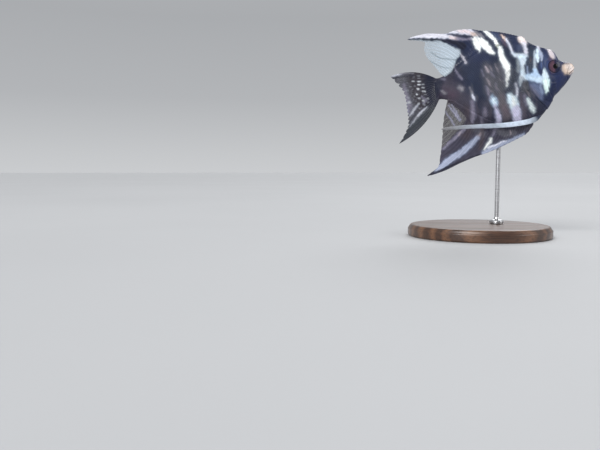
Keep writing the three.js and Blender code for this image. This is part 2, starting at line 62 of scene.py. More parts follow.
HALF_WIDTH = [
    (79.8, 1.3), (79.0, 2.2), (76.6, 3.1), (72.4, 4.3), (67.0, 5.6), (60.0, 6.6), (52.0, 7.0), (42.0, 6.7), (30.0, 5.5), (18.0, 3.9),
    (8.0, 2.8), (0.0, 2.2), (-2.6, 1.6),
]
EYE = dict(x=66.4, z=2.3, radius=3.7, bulge=1.0, depth=3.4, yaw=9.0)
GILL_EDGE = [(55.8, 34), (54.9, 18), (53.4, 7.5), (51.2, 2), (50.3, -4), (51.9, -10.5), (56.4, -17), (62, -22), (66, -34)]
PREOPERCLE = [(53.4, 8.4), (58.6, 9.6), (60.0, 4), (60.6, -4), (62.3, -12), (67.0, -18.5), (69, -24)]
DORSAL = dict(front=53.5, rear=3.2, sink=2.6, bow=-0.13, side=0, tips=[
    (0.0, 53.2, 21.4), (0.04, 51.4, 23.1), (0.09, 48.6, 24.0), (0.15, 44.9, 25.4), (0.24, 39.2, 27.3), (0.34, 33.2, 28.8), (0.44, 27.0, 30.0),
    (0.51, 21.5, 31.55), (0.57, 14.0, 32.2), (0.615, 6.0, 31.25), (0.65, -4.5, 32.9), (0.69, -15.2, 31.4),
    (0.73, -6.1, 28.5), (0.79, -6.4, 24.0), (0.85, -5.3, 19.4), (0.91, -3.3, 15.9), (0.96, -0.9, 12.2), (1.0, 1.5, 8.2)])
ANAL = dict(front=52.5, rear=3.4, sink=2.6, bow=0.12, side=1, tips=[
    (0.0, 52.6, -29.4), (0.06, 48.2, -33.9), (0.14, 41.8, -36.4), (0.23, 33.6, -39.0), (0.33, 24.2, -41.6), (0.42, 14.6, -43.4),
    (0.49, 5.8, -45.8), (0.55, -4.0, -48.9), (0.6, -13.9, -50.3),
    (0.65, -7.0, -46.0), (0.71, -5.0, -40.4), (0.78, -3.3, -34.3), (0.85, -1.9, -27.2), (0.91, -0.4, -19.6), (0.96, 1.6, -12.6), (1.0, 3.2, -8.4)])
CAUDAL = dict(root_x=-1.2, root_top=5.85, root_bottom=-6.2, tips=[
    (0.0, -27.75, 11.7, 0.115), (0.05, -26.5, 9.8, 0.085), (0.13, -23.9, 5.8, 0.035), (0.22, -21.6, 2.0, 0.02), (0.35, -20.8, -3.2, 0.0),
    (0.5, -20.9, -8.6, -0.01), (0.65, -20.8, -14.2, -0.03), (0.78, -21.4, -19.0, -0.05), (0.88, -23.4, -22.8, -0.07),
    (0.94, -25.6, -26.0, -0.08), (1.0, -27.9, -28.8, -0.09)])
PECTORAL = dict(root_x=49.6, root_top=-4.6, root_bottom=-8.8, spread=math.radians(24),
                tips=[(0, 40.6, 4.6), (0.2, 36.8, 3.2), (0.45, 33.4, -0.4), (0.7, 32.9, -5.2), (0.88, 34.8, -9.4), (1, 38.0, -11.6)])
PELVIC = {-1: [
    (56.0, 2.2, -23.8, 1.5, 0.5), (53.2, 2.9, -25.7, 1.6, 0.5), (48.4, 3.9, -26.7, 1.6, 0.45), (43.3, 4.7, -27.2, 1.55, 0.42), (37.0, 5.3, -27.4, 1.5, 0.4),
    (30.9, 5.8, -27.2, 1.45, 0.38), (24.9, 6.1, -26.8, 1.4, 0.36), (18.9, 6.4, -26.2, 1.3, 0.35), (10.0, 6.8, -25.3, 1.05, 0.34),
    (1.2, 7.0, -24.6, 0.7, 0.33), (-4.0, 7.1, -24.3, 0.4, 0.32)], 1: [
    (56.0, 2.2, -23.8, 1.5, 0.5), (53.2, 3.1, -25.7, 1.6, 0.5), (48.4, 5.0, -26.9, 1.6, 0.45), (43.3, 6.8, -27.9, 1.55, 0.42), (37.0, 8.4, -28.9, 1.5, 0.4),
    (30.9, 9.5, -29.8, 1.45, 0.38), (24.9, 10.3, -30.6, 1.35, 0.36), (18.9, 10.8, -31.2, 1.2, 0.35), (12.0, 11.2, -31.7, 0.95, 0.34),
    (6.0, 11.4, -32.0, 0.65, 0.33), (1.5, 11.5, -32.1, 0.4, 0.32)]}


def lerp(a, b, t):
    return a + (b - a) * t


def smooth(a, b, v):
    t = np.clip((v - a) / (b - a), 0, 1)
    return t * t * (3 - 2 * t)


def track(rows):
    """A smooth curve through rows of numbers: the first column is the parameter, the rest are interpolated."""
    r = np.array(rows, float)
    n = len(r)
    lo, hi = np.maximum(np.arange(n) - 1, 0), np.minimum(np.arange(n) + 1, n - 1)
    slope = (r[hi, 1:] - r[lo, 1:]) / (r[hi, :1] - r[lo, :1])

    def at(t):
        t = np.clip(np.asarray(t, float), r[0, 0], r[-1, 0])
        i = np.clip(np.searchsorted(r[:, 0], t, side="left") - 1, 0, n - 2)
        h = r[i + 1, 0] - r[i, 0]
        s = ((t - r[i, 0]) / h)[..., None]
        h = h[..., None]
        return ((2 * s**3 - 3 * s**2 + 1) * r[i, 1:] + (s**3 - 2 * s**2 + s) * h * slope[i]
                + (-2 * s**3 + 3 * s**2) * r[i + 1, 1:] + (s**3 - s**2) * h * slope[i + 1])

    return at


def runs_of(points):
    run = 0.0
    rows = []
    for i, p in enumerate(points):
        if i:
            q = points[i - 1]
            run += (math.hypot(p[0] - q[0], p[1] - q[1]) + math.hypot(p[2] - q[2], p[3] - q[3])) / 2
        rows.append((run, *p))
    return rows


OUTLINE_ROWS = runs_of(OUTLINE)
LENGTH_RUN = OUTLINE_ROWS[-1][0]
outline_track = track(OUTLINE_ROWS)
_width = track([(-x, w) for x, w in HALF_WIDTH])


def half_width(x):
    return _width(-np.asarray(x, float))[..., 0]


def sweep(x):
    return SWEEP_AT_TIP * np.maximum(0, (SWEEP_START_X - x) / (SWEEP_START_X - FIN_TIP_X)) ** 2


def section(run, grow=0.0):
    o = outline_track(run)
    xt, zt, xb, zb = (o[..., k] for k in range(4))
    d = np.maximum(np.hypot(xt - xb, zt - zb), 1e-6)
    ux, uz = (xt - xb) / d, (zt - zb) / d
    xm = (xt + xb) / 2
    p_back = lerp(1.22, 1.0, smooth(48, 66, xm))
    p_belly = lerp(1.3, 1.0, smooth(34, 52, xm))
    return xt + ux * grow, zt + uz * grow, xb - ux * grow, zb - uz * grow, half_width(xm) + grow, p_back, p_belly


def section_y(sec, s):
    return sec[4] * np.maximum(0, 2 * np.sqrt(np.maximum(0, s * (1 - s)))) ** lerp(sec[5], sec[6], s)


def locate(x, z):
    """The section through a point of the side view, and how far down it the point lies."""
    x, z = np.asarray(x, float), np.asarray(z, float)
    a, b = np.zeros_like(x), np.full_like(x, LENGTH_RUN)
    for _ in range(26):
        m = (a + b) / 2
        o = outline_track(m)
        right = (o[..., 2] - o[..., 0]) * (z - o[..., 1]) - (o[..., 3] - o[..., 1]) * (x - o[..., 0]) > 0
        b = np.where(right, m, b)
        a = np.where(right, a, m)
    o = outline_track(a)
    dx, dz = o[..., 2] - o[..., 0], o[..., 3] - o[..., 1]
    s = ((x - o[..., 0]) * dx + (z - o[..., 1]) * dz) / np.maximum(dx * dx + dz * dz, 1e-9)
    return a, s


def flank(x, z, grow=0.0):
    run, s = locate(x, z)
    return section_y(section(run, grow), np.clip(s, 0, 1))


def ridge(x, side):
    """Height of the back line (side 0) or the belly line (side 1) over the fish's x."""
    x = np.asarray(x, float)
    a, b = np.zeros_like(x), np.full_like(x, LENGTH_RUN)
    k = 2 if side else 0
    for _ in range(30):
        m = (a + b) / 2
        ahead = outline_track(m)[..., k] > x
        a = np.where(ahead, m, a)
        b = np.where(ahead, b, m)
    return outline_track(a)[..., k + 1]


# ---------------------------------------------------------------- markings
PALETTE = {  # sRGB, 0-255
    "white": (246, 248, 246), "ice": (224, 240, 250), "net": (184, 206, 228), "lavwhite": (228, 228, 240), "lav": (182, 180, 202),
    "greylav": (138, 133, 152), "grey": (146, 143, 150), "cream": (246, 234, 232), "peach": (222, 196, 184), "snout": (226, 206, 190),
    "snoutpink": (214, 204, 202), "snoutorange": (198, 174, 156), "tan": (216, 226, 228), "olive": (86, 86, 92), "olivelight": (150, 150, 120),
    "slateolive": (100, 108, 112), "brown": (86, 80, 92), "red": (86, 62, 80), "umber": (76, 64, 68), "navy": (32, 42, 80),
    "slate": (108, 120, 152), "dark": (29, 37, 57), "black": (22, 24, 42), "greendark": (46, 56, 74), "pinkwhite": (236, 216, 216), "redbrown": (94, 76, 96), "slateblue": (100, 122, 168), "pale": (172, 160, 166), "creamhead": (210, 201, 206), "taupe": (112, 104, 110), "filshade": (34, 42, 56), "lavlow": (204, 202, 226), "napeblue": (180, 190, 214),
    "stone": (184, 180, 190), "finpink": (188, 170, 174), "caudalnavy": (23, 27, 47), "caudaldusk": (122, 118, 134), "palestreak": (182, 184, 194),
    "caudalgreen": (48, 54, 60), "finlav": (164, 172, 196), "mid": (98, 98, 108), "fold": (110, 122, 128), "icegrey": (204, 215, 226), "bridge": (190, 214, 240), "lavblue": (150, 164, 192), "mist": (146, 154, 160), "mintwhite": (232, 252, 248), "flank": (34, 42, 64),
    "rear": (42, 38, 54), "belly": (50, 48, 64), "finbase": (34, 39, 66), "clear": (190, 205, 218), "caudal": (50, 47, 54), "caudaledge": (116, 118, 128),
    "dot": (214, 216, 220), "analdark": (60, 58, 74), "analclear": (96, 93, 92), "pelvic": (172, 183, 198), "pelvictip": (124, 124, 128),
}

MARKS = [  # palette name, strength, edge softness, [(x, z, half width), ...]
    ("brown", 0.55, 4.9, [(3.1, 0.7, 3.00), (7.7, -5.3, 6.00), (12.6, -12.9, 6.02)]),
    ("red", 0.40, 4.1, [(2.1, -2.7, 1.80), (6.6, -5.1, 2.40)]),
    ("navy", 0.45, 4.9, [(19.5, 22.1, 2.72), (22.9, 15.4, 3.60), (28.5, 13.1, 2.39)]),
    ("olive", 0.80, 4.1, [(27.8, 9.0, 1.49), (28.5, 2.3, 3.57), (30.0, -4.9, 5.05), (31.6, -11.5, 3.57), (33.5, -18.1, 2.39)]),
    ("olive", 0.60, 3.2, [(33.9, 7.9, 1.49), (34.6, 1.3, 2.37), (34.5, -4.5, 2.67)]),
    ("taupe", 0.70, 3.2, [(34.5, -10.8, 1.49), (35.8, -16.8, 2.68), (36.8, -22.1, 2.39)]),
    ("red", 0.35, 3.2, [(34.7, -17.2, 1.19), (36.8, -19.8, 1.49)]),
    ("brown", 0.85, 2.4, [(44.8, -10.7, 1.19), (44.9, -17.0, 2.08), (45.4, -23.4, 2.09)]),
    ("olive", 0.75, 2.4, [(46.4, -5.2, 1.48), (47.8, -8.9, 2.37), (49.9, -12.6, 1.48)]),
    ("brown", 0.45, 3.2, [(24.7, -13.3, 2.39), (23.5, -19.9, 3.01), (21.9, -26.7, 2.72)]),
    ("umber", 0.45, 3.2, [(14.7, -13.9, 2.11), (16.4, -22.3, 2.72), (12.0, -28.8, 3.62)]),
    ("navy", 0.60, 4.1, [(70.9, 4.6, 1.20), (69.6, -5.9, 4.17), (67.4, -12.4, 3.59), (62.1, -16.5, 2.98)]),
    ("navy", 0.50, 3.2, [(45.7, 22.9, 1.51), (47.3, 17.2, 2.09), (45.5, 15.0, 1.19)]),
    ("navy", 0.75, 2.4, [(62.3, 10.9, 1.19), (61.4, 4.3, 2.08), (61.7, -1.6, 1.19)]),
    ("greendark", 0.80, 2.1, [(53.3, 12.1, 1.19), (52.5, 6.8, 1.78), (52.1, 2.7, 1.18)]),
    ("dark", 0.85, 1.8, [(42.2, 11.9, 0.89), (42.3, 7.7, 1.31), (42.0, 2.5, 1.60), (41.3, -2.1, 1.66), (40.2, -5.9, 1.48), (39.3, -8.1, 1.01)]),
    ("slateblue", 0.22, 2.4, [(34.9, 27.1, 0.91), (37.0, 25.0, 1.21), (38.6, 22.8, 0.91)]),
    ("slate", 0.28, 1.6, [(47.8, 17.2, 0.90), (47.8, 14.7, 0.89)]),
    ("black", 0.75, 0.8, [(7.4, 30.5, 0.30), (12.6, 29.5, 0.36), (15.5, 28.6, 0.48), (18.4, 27.9, 0.60), (21.3, 27.3, 0.54)]),
    ("lavwhite", 0.95, 0.8, [(7.9, 31.3, 0.48), (10.2, 31.4, 0.60), (12.7, 31.7, 1.15), (17.1, 31.2, 1.69), (21.2, 30.2, 1.75), (23.4, 29.1, 0.91)]),
    ("pinkwhite", 0.70, 1.0, [(15.2, 31.6, 0.78), (19.2, 30.7, 0.91), (22.6, 29.4, 0.66)]),
    ("grey", 0.80, 1.0, [(24.5, 28.9, 0.72), (26.6, 27.5, 1.03), (28.8, 25.4, 0.48)]),
    ("peach", 0.75, 0.8, [(22.2, 29.0, 0.48), (23.7, 28.2, 0.78), (24.9, 27.1, 0.48)]),
    ("lavwhite", 0.97, 0.6, [(-14.7, 32.0, 0.48), (-11.0, 32.6, 1.09), (-5.1, 32.0, 1.51), (1.9, 31.0, 1.69), (6.3, 29.9, 1.39), (9.6, 28.7, 1.03), (11.5, 28.0, 0.78)]),
    ("pinkwhite", 0.70, 0.8, [(9.9, 28.5, 0.85), (11.8, 27.8, 0.78), (13.6, 27.4, 0.66)]),
    ("greylav", 0.85, 0.8, [(13.6, 27.4, 0.78), (17.0, 26.5, 0.66), (19.4, 26.1, 0.60), (22.3, 26.0, 0.78)]),
    ("filshade", 0.97, 0.7, [(-15.3, 31.4, 0.33), (-8.3, 30.3, 0.60), (-1.3, 29.0, 0.75), (3.9, 27.7, 0.78)]),
    ("black", 0.85, 0.7, [(3.3, 28.0, 0.54), (9.0, 26.3, 0.85), (12.7, 24.9, 1.27), (16.3, 22.7, 2.11)]),
    ("fold", 0.50, 0.6, [(-2.6, 21.8, 0.24), (2.2, 17.6, 0.36), (11.5, 15.1, 0.30)]),
    ("white", 1.00, 0.7, [(24.5, 25.3, 1.51), (26.8, 23.5, 2.35), (29.3, 21.0, 2.08), (31.0, 17.9, 1.86), (32.6, 15.6, 1.08)]),
    ("white", 1.00, 0.7, [(23.7, 25.6, 1.27), (24.4, 22.8, 1.51), (25.2, 20.3, 1.30), (25.5, 18.0, 0.51)]),
    ("white", 1.00, 0.6, [(30.0, 29.4, 0.85), (32.0, 27.2, 1.21), (34.1, 24.8, 1.18), (35.4, 22.8, 1.03), (35.9, 20.1, 0.87)]),
    ("olivelight", 0.85, 0.6, [(36.0, 19.6, 0.60), (36.3, 18.3, 0.66)]),
    ("white", 1.00, 0.7, [(36.9, 18.2, 0.90), (37.0, 15.6, 1.37), (36.9, 12.6, 1.49), (37.7, 9.4, 1.84), (38.9, 6.2, 2.05), (38.9, 2.9, 1.57), (38.5, 0.3, 1.19), (37.9, -2.0, 0.80), (37.4, -4.9, 0.36)]),
    ("grey", 0.30, 1.5, [(35.5, 7.1, 0.59), (36.5, 4.0, 1.07), (36.9, 1.0, 1.01), (37.0, -2.5, 0.59)]),
    ("peach", 0.95, 0.6, [(39.6, 25.6, 0.48), (40.6, 23.9, 0.78), (41.1, 22.2, 0.60)]),
    ("lavwhite", 0.90, 0.6, [(41.7, 22.5, 0.51), (42.5, 19.9, 0.63), (43.1, 17.3, 0.60), (43.3, 14.9, 0.60), (43.7, 12.9, 0.77)]),
    ("redbrown", 0.60, 1.1, [(39.5, 22.1, 0.66), (40.1, 20.2, 0.78), (40.8, 18.4, 0.48)]),
    ("cream", 1.00, 1.0, [(51.1, 21.1, 2.41), (51.3, 19.2, 1.92)]),
    ("peach", 0.45, 1.1, [(50.0, 21.8, 0.60), (49.1, 20.1, 0.48)]),
    ("lavwhite", 0.85, 0.9, [(51.2, 18.2, 1.14), (51.2, 15.7, 0.96), (51.1, 13.3, 1.07), (50.7, 11.8, 1.01)]),
    ("icegrey", 0.72, 0.8, [(56.6, 13.1, 0.48), (55.6, 9.8, 0.65), (54.9, 6.3, 0.65), (54.6, 3.4, 0.83), (54.6, 1.0, 1.18)]),
    ("lavwhite", 0.90, 0.7, [(60.5, 17.8, 0.42), (59.5, 14.9, 0.72), (58.8, 12.4, 1.01)]),
    ("napeblue", 0.92, 0.7, [(59.2, 12.0, 0.95), (59.5, 9.8, 1.07), (59.3, 7.1, 0.53)]),
    ("ice", 0.97, 0.7, [(58.3, 13.6, 0.60), (57.5, 11.1, 1.07), (57.0, 8.5, 1.07), (56.9, 6.1, 0.47)]),
    ("mist", 0.75, 1.3, [(46.1, 10.7, 0.89), (45.8, 7.8, 1.13), (45.2, 4.3, 0.95), (45.0, 2.0, 0.65)]),
    ("icegrey", 0.92, 0.8, [(43.6, 13.4, 0.71), (44.5, 12.0, 1.07), (46.3, 11.4, 1.37), (48.2, 10.7, 1.78), (50.5, 10.5, 1.19)]),
    ("ice", 0.97, 1.1, [(47.3, 10.5, 1.19), (48.4, 9.3, 1.78), (48.2, 7.4, 1.36)]),
    ("icegrey", 0.92, 1.0, [(48.4, 8.0, 1.31), (48.0, 5.6, 1.01), (47.5, 3.1, 1.04), (47.5, 0.8, 1.30), (48.3, -2.0, 1.42)]),
    ("ice", 0.80, 1.0, [(47.3, 2.6, 0.53), (47.3, 0.2, 0.89), (47.9, -1.7, 1.01)]),
    ("icegrey", 0.92, 0.9, [(46.6, 0.2, 1.01), (46.0, -1.7, 1.36), (45.4, -3.3, 1.01), (45.0, -5.0, 0.59), (44.9, -6.1, 0.30)]),
    ("lavblue", 0.65, 0.6, [(50.3, 4.4, 0.30), (50.2, 2.4, 0.44), (50.2, 0.3, 0.65)]),
    ("dark", 0.45, 0.7, [(49.2, 5.5, 0.30), (49.1, 3.1, 0.41), (49.2, 1.0, 0.30)]),
    ("bridge", 0.95, 1.0, [(50.2, -1.1, 1.07), (51.9, -2.0, 2.19), (54.1, -2.4, 2.90), (56.4, -3.8, 2.25), (58.4, -4.0, 2.07)]),
    ("bridge", 0.85, 0.8, [(54.4, 1.5, 1.07), (54.3, -0.6, 1.78)]),
    ("ice", 0.55, 1.3, [(50.3, -1.7, 0.59), (54.6, -3.7, 1.01), (57.7, -4.2, 1.60)]),
    ("ice", 0.97, 0.9, [(59.8, 1.0, 0.89), (59.9, -1.1, 1.48), (60.1, -3.6, 1.84), (60.3, -5.9, 2.07)]),
    ("mintwhite", 0.97, 0.9, [(60.3, -5.7, 1.60), (60.3, -8.4, 1.72), (60.2, -10.7, 1.25), (60.0, -12.0, 0.48)]),
    ("slate", 0.75, 1.8, [(51.0, -6.1, 1.18), (53.8, -8.0, 2.07), (55.9, -11.2, 2.07), (56.9, -14.2, 1.19)]),
    ("greylav", 0.35, 1.3, [(50.7, -7.2, 0.71), (52.7, -9.9, 1.07), (54.8, -13.3, 0.77)]),
    ("lavblue", 0.60, 1.0, [(56.8, -6.7, 0.59), (56.9, -9.0, 0.77), (57.2, -11.9, 0.59)]),
    ("greendark", 0.90, 0.8, [(54.9, 15.0, 0.90), (54.1, 12.6, 0.83), (53.3, 10.0, 1.07), (52.6, 6.7, 1.36), (52.3, 3.2, 1.13), (52.2, 1.8, 0.59)]),
    ("umber", 0.45, 0.8, [(53.1, 9.7, 0.71), (52.9, 7.9, 0.71)]),
    ("navy", 0.95, 0.8, [(58.2, 5.0, 0.77), (57.8, 2.6, 1.30), (57.8, 0.0, 1.07), (57.6, -1.1, 0.47)]),
    ("navy", 0.85, 0.8, [(60.7, 6.8, 0.59), (59.5, 3.4, 0.53)]),
    ("slateblue", 0.65, 0.6, [(58.9, 5.4, 0.30), (58.6, 2.5, 0.39)]),
    ("creamhead", 0.92, 1.0, [(65.9, 12.3, 1.08), (66.0, 11.0, 1.56), (66.5, 9.1, 1.49), (66.9, 7.7, 0.89)]),
    ("greylav", 0.45, 1.1, [(68.8, 11.8, 0.60), (69.5, 10.0, 0.60), (68.1, 7.8, 0.48)]),
    ("peach", 0.35, 1.0, [(65.4, 8.5, 0.48), (66.4, 6.9, 0.48)]),
    ("redbrown", 0.56, 1.3, [(64.4, 7.3, 0.71), (65.4, 5.4, 1.31), (64.7, 2.7, 1.66), (64.4, -0.2, 1.13)]),
    ("slateblue", 0.20, 1.6, [(61.6, 8.5, 1.07), (60.7, 3.8, 1.31)]),
    ("snout", 1.00, 1.4, [(74.3, 0.4, 2.75), (75.4, 0.2, 3.23)]),
    ("snout", 1.00, 1.0, [(77.5, 1.1, 1.98), (77.9, -0.4, 2.04), (76.7, -1.3, 1.80)]),
    ("snoutpink", 0.70, 1.3, [(75.8, 1.2, 1.50), (77.8, -0.7, 1.50)]),
    ("snoutorange", 0.70, 1.2, [(72.3, 2.0, 0.54), (72.0, -0.2, 0.66), (72.9, -2.3, 0.72), (74.7, -2.7, 0.54)]),
    ("snoutorange", 0.35, 1.0, [(75.5, 2.9, 0.42), (74.7, -0.7, 0.48)]),
    ("greylav", 0.50, 1.0, [(77.1, -3.4, 0.78), (79.6, -3.5, 0.78)]),
    ("lavwhite", 0.85, 0.6, [(42.4, -4.7, 0.44), (42.8, -7.1, 0.65), (43.0, -9.4, 0.62), (42.5, -11.6, 0.56)]),
    ("ice", 1.00, 1.1, [(38.6, -10.5, 1.60), (39.7, -13.1, 2.67), (40.5, -16.0, 2.67), (41.0, -18.3, 2.20)]),
    ("white", 0.75, 1.3, [(40.3, -12.3, 1.01), (40.6, -14.7, 1.25), (40.7, -17.5, 1.19)]),
    ("lavwhite", 0.85, 1.3, [(41.3, -19.5, 1.96), (41.5, -20.9, 2.15)]),
    ("lavlow", 0.95, 1.3, [(41.6, -19.4, 2.26), (42.0, -22.9, 2.39), (42.3, -25.8, 2.15)]),
    ("greylav", 0.55, 1.1, [(46.8, -11.6, 0.71), (47.2, -14.5, 0.89), (47.8, -16.9, 0.77)]),
    ("tan", 0.95, 0.9, [(48.6, -14.3, 0.71), (49.5, -16.5, 1.13), (50.7, -19.0, 1.37), (51.8, -21.0, 1.31), (52.3, -22.0, 0.77)]),
    ("net", 0.95, 1.1, [(28.3, -9.6, 0.77), (29.1, -11.6, 1.55), (30.1, -13.8, 1.37)]),
    ("ice", 1.00, 0.8, [(29.1, -11.0, 0.89), (29.7, -12.8, 1.13), (30.1, -14.2, 0.72)]),
    ("lav", 0.85, 1.0, [(29.8, -15.0, 0.72), (30.4, -16.8, 0.78), (30.7, -18.2, 0.90)]),
    ("lavlow", 0.95, 1.1, [(30.6, -17.9, 0.78), (31.2, -20.0, 1.20), (31.8, -22.7, 1.44), (31.7, -25.3, 1.20)]),
    ("greylav", 0.55, 1.5, [(30.9, -25.7, 0.90), (28.7, -30.7, 0.91)]),
    ("pale", 0.80, 0.6, [(26.9, 8.5, 0.30), (27.6, 6.6, 0.51), (28.3, 4.7, 0.36)]),
    ("pale", 0.45, 0.6, [(29.5, 8.1, 0.27), (30.5, 5.5, 0.33)]),
    ("greylav", 0.45, 0.7, [(29.6, 4.5, 0.42), (30.9, 1.4, 0.48)]),
    ("pale", 0.35, 0.6, [(32.1, 8.8, 0.27), (33.2, 5.7, 0.33), (33.8, 3.2, 0.24)]),
    ("greylav", 0.40, 0.8, [(24.8, 6.5, 0.42), (25.2, 2.9, 0.48)]),
    ("pale", 0.60, 0.7, [(26.9, 0.9, 0.39), (27.6, -1.0, 0.57), (28.2, -2.6, 0.42)]),
    ("greylav", 0.60, 1.0, [(26.0, -3.6, 0.54), (26.7, -7.2, 0.83), (27.4, -10.2, 0.66)]),
    ("greylav", 0.35, 1.0, [(31.1, -2.7, 0.42), (31.7, -6.3, 0.48)]),
    ("grey", 0.60, 0.9, [(16.8, -2.5, 0.54), (17.3, -4.5, 0.66), (17.6, -6.3, 0.54)]),
    ("lavwhite", 0.98, 0.6, [(17.7, -6.8, 0.36), (18.3, -8.4, 0.66), (19.0, -10.2, 0.42)]),
    ("greylav", 0.85, 1.3, [(17.2, -10.9, 0.90), (17.4, -14.9, 1.38), (17.6, -18.9, 1.45), (16.7, -21.8, 0.91)]),
    ("greylav", 0.62, 1.1, [(23.9, -16.0, 0.84), (24.2, -19.5, 1.08)]),
    ("greylav", 0.45, 1.0, [(22.0, -20.8, 0.66), (22.0, -23.7, 0.66)]),
    ("grey", 0.85, 1.1, [(10.7, -1.2, 1.02), (12.2, -2.2, 1.20)]),
    ("grey", 0.65, 1.1, [(0.5, -1.5, 0.54), (2.4, -3.5, 0.78)]),
    ("stone", 0.90, 0.6, [(14.4, 18.8, 0.39), (15.7, 15.8, 0.60), (16.6, 12.4, 0.81)]),
    ("greylav", 0.60, 0.8, [(9.7, 10.4, 0.30), (10.8, 7.3, 0.51), (11.8, 5.0, 0.51), (12.9, 2.8, 0.30)]),
    ("greylav", 0.50, 1.0, [(1.5, 5.2, 0.60), (2.8, 4.7, 0.60)]),
    ("finpink", 0.88, 0.8, [(20.6, -29.6, 0.60), (19.6, -30.8, 0.91), (18.4, -32.1, 1.03)]),
    ("finlav", 0.95, 0.8, [(18.6, -31.9, 1.03), (16.2, -33.8, 1.33), (13.8, -35.7, 1.69), (9.2, -38.8, 1.75), (3.4, -41.3, 1.99), (-1.8, -44.2, 1.87), (-5.6, -46.4, 1.39), (-8.8, -48.5, 0.66)]),
    ("finlav", 0.85, 0.8, [(46.3, -34.1, 0.72), (41.3, -35.6, 1.03), (36.4, -36.9, 1.09), (31.4, -38.1, 1.21), (27.0, -39.4, 1.39), (23.2, -40.7, 1.39), (21.0, -41.3, 1.03)]),
    ("lavwhite", 0.80, 0.6, [(35.2, -36.2, 0.42), (29.7, -37.4, 0.54), (24.1, -38.8, 0.54)]),
    ("white", 0.85, 0.7, [(26.4, -33.6, 0.78), (25.5, -35.6, 0.85), (23.4, -37.6, 0.72), (21.6, -39.6, 0.48)]),
    ("greylav", 0.60, 0.8, [(29.1, -29.6, 0.66), (27.7, -31.7, 0.72)]),
    ("mid", 0.85, 1.5, [(31.7, -30.0, 1.51), (35.1, -32.2, 1.96), (40.5, -32.4, 1.51)]),
    ("mid", 0.50, 1.6, [(18.4, -26.2, 2.41), (21.5, -30.2, 2.41)]),
    ("pale", 0.60, 0.7, [(38.1, -30.9, 0.36), (38.4, -33.1, 0.54)]),
    ("greylav", 0.95, 1.0, [(11.2, -26.0, 0.78), (8.2, -27.9, 0.97), (4.6, -30.5, 0.85), (0.6, -33.2, 0.72), (-2.5, -35.2, 0.48)]),
    ("pale", 0.50, 0.8, [(8.9, -27.4, 0.60), (7.7, -28.6, 0.60)]),
    ("lav", 0.72, 0.7, [(3.8, -10.7, 0.39), (5.8, -14.3, 0.51), (7.9, -18.1, 0.57), (9.2, -20.4, 0.54)]),
    ("lav", 0.55, 0.7, [(1.6, -14.2, 0.36), (3.7, -18.3, 0.45), (5.9, -22.6, 0.48)]),
    ("lav", 0.50, 0.6, [(5.5, -10.4, 0.30), (7.7, -14.8, 0.42), (9.9, -19.9, 0.42)]),
    ("umber", 0.50, 1.3, [(21.9, -26.7, 0.91), (21.6, -32.6, 1.03), (19.3, -38.3, 1.03)]),
    ("black", 0.90, 0.6, [(17.6, -42.3, 0.48), (8.9, -44.3, 0.54), (0.1, -46.6, 0.60), (-6.1, -48.4, 0.66), (-13.6, -49.8, 0.48)]),
    ("caudalnavy", 0.95, 2.4, [(0.0, 3.6, 2.10), (-3.9, 0.6, 4.21), (-5.8, -4.3, 2.41), (-5.3, -8.4, 1.21)]),
    ("caudaldusk", 0.85, 2.1, [(-20.4, 5.5, 1.20), (-20.5, 1.3, 1.80), (-19.9, -3.5, 2.10), (-19.0, -7.6, 1.81), (-20.0, -11.0, 1.21)]),
    ("lav", 0.55, 1.0, [(-21.6, -3.2, 0.48), (-21.1, -7.3, 0.60), (-20.8, -10.9, 0.48)]),
    ("greylav", 0.70, 1.3, [(-11.1, -3.3, 0.72), (-8.9, -5.4, 0.90), (-10.5, -7.0, 0.91)]),
    ("palestreak", 0.95, 0.7, [(-27.9, 11.7, 0.48), (-25.6, 11.8, 0.91), (-23.0, 11.9, 0.78), (-20.8, 12.1, 0.54)]),
    ("grey", 0.80, 0.7, [(-21.2, 12.1, 0.54), (-17.6, 12.0, 0.48), (-14.1, 11.1, 0.30)]),
    ("black", 0.75, 0.6, [(-27.0, 10.3, 0.36), (-23.8, 10.3, 0.48), (-19.6, 10.4, 0.36), (-14.3, 9.9, 0.30)]),
    ("palestreak", 1.00, 0.8, [(-9.1, -9.9, 0.78), (-11.2, -11.5, 1.09), (-13.2, -12.9, 1.15), (-15.6, -15.2, 0.91), (-18.1, -17.5, 0.69), (-20.3, -19.7, 0.42)]),
    ("palestreak", 0.88, 1.0, [(-13.9, -7.5, 0.54), (-15.8, -9.1, 0.97), (-17.6, -11.0, 0.97), (-19.4, -12.9, 0.72)]),
    ("caudalgreen", 0.85, 1.3, [(-8.4, -9.7, 0.60), (-11.6, -13.8, 1.33), (-16.8, -18.6, 1.93), (-21.9, -23.8, 1.63), (-25.8, -27.5, 0.60)]),
    ("caudalgreen", 0.75, 1.0, [(-15.0, -11.4, 0.42), (-17.5, -14.0, 0.78), (-20.2, -16.9, 0.66)]),
    ("dot", 0.74, 0.6, [(-15.5, 6.8, 0.48), (-14.5, 6.5, 0.48)]),
    ("dot", 0.98, 0.6, [(-12.2, 6.1, 0.40), (-10.8, 5.9, 0.40)]),
    ("dot", 0.90, 0.6, [(-12.4, 4.2, 0.51), (-11.4, 4.0, 0.51)]),
    ("dot", 0.56, 0.6, [(-10.0, 4.0, 0.56), (-9.2, 3.8, 0.56)]),
    ("dot", 0.36, 0.6, [(-14.9, 3.7, 0.42), (-14.2, 3.5, 0.42)]),
    ("dot", 0.38, 0.6, [(-17.2, 3.9, 0.48), (-16.5, 3.7, 0.48)]),
    ("dot", 0.81, 0.6, [(-13.0, 1.7, 0.64), (-12.5, 1.6, 0.64)]),
    ("dot", 0.62, 0.6, [(-10.3, 2.1, 0.50), (-9.2, 1.9, 0.50)]),
    ("dot", 0.74, 0.6, [(-10.3, -0.1, 0.61), (-8.9, -0.4, 0.61)]),
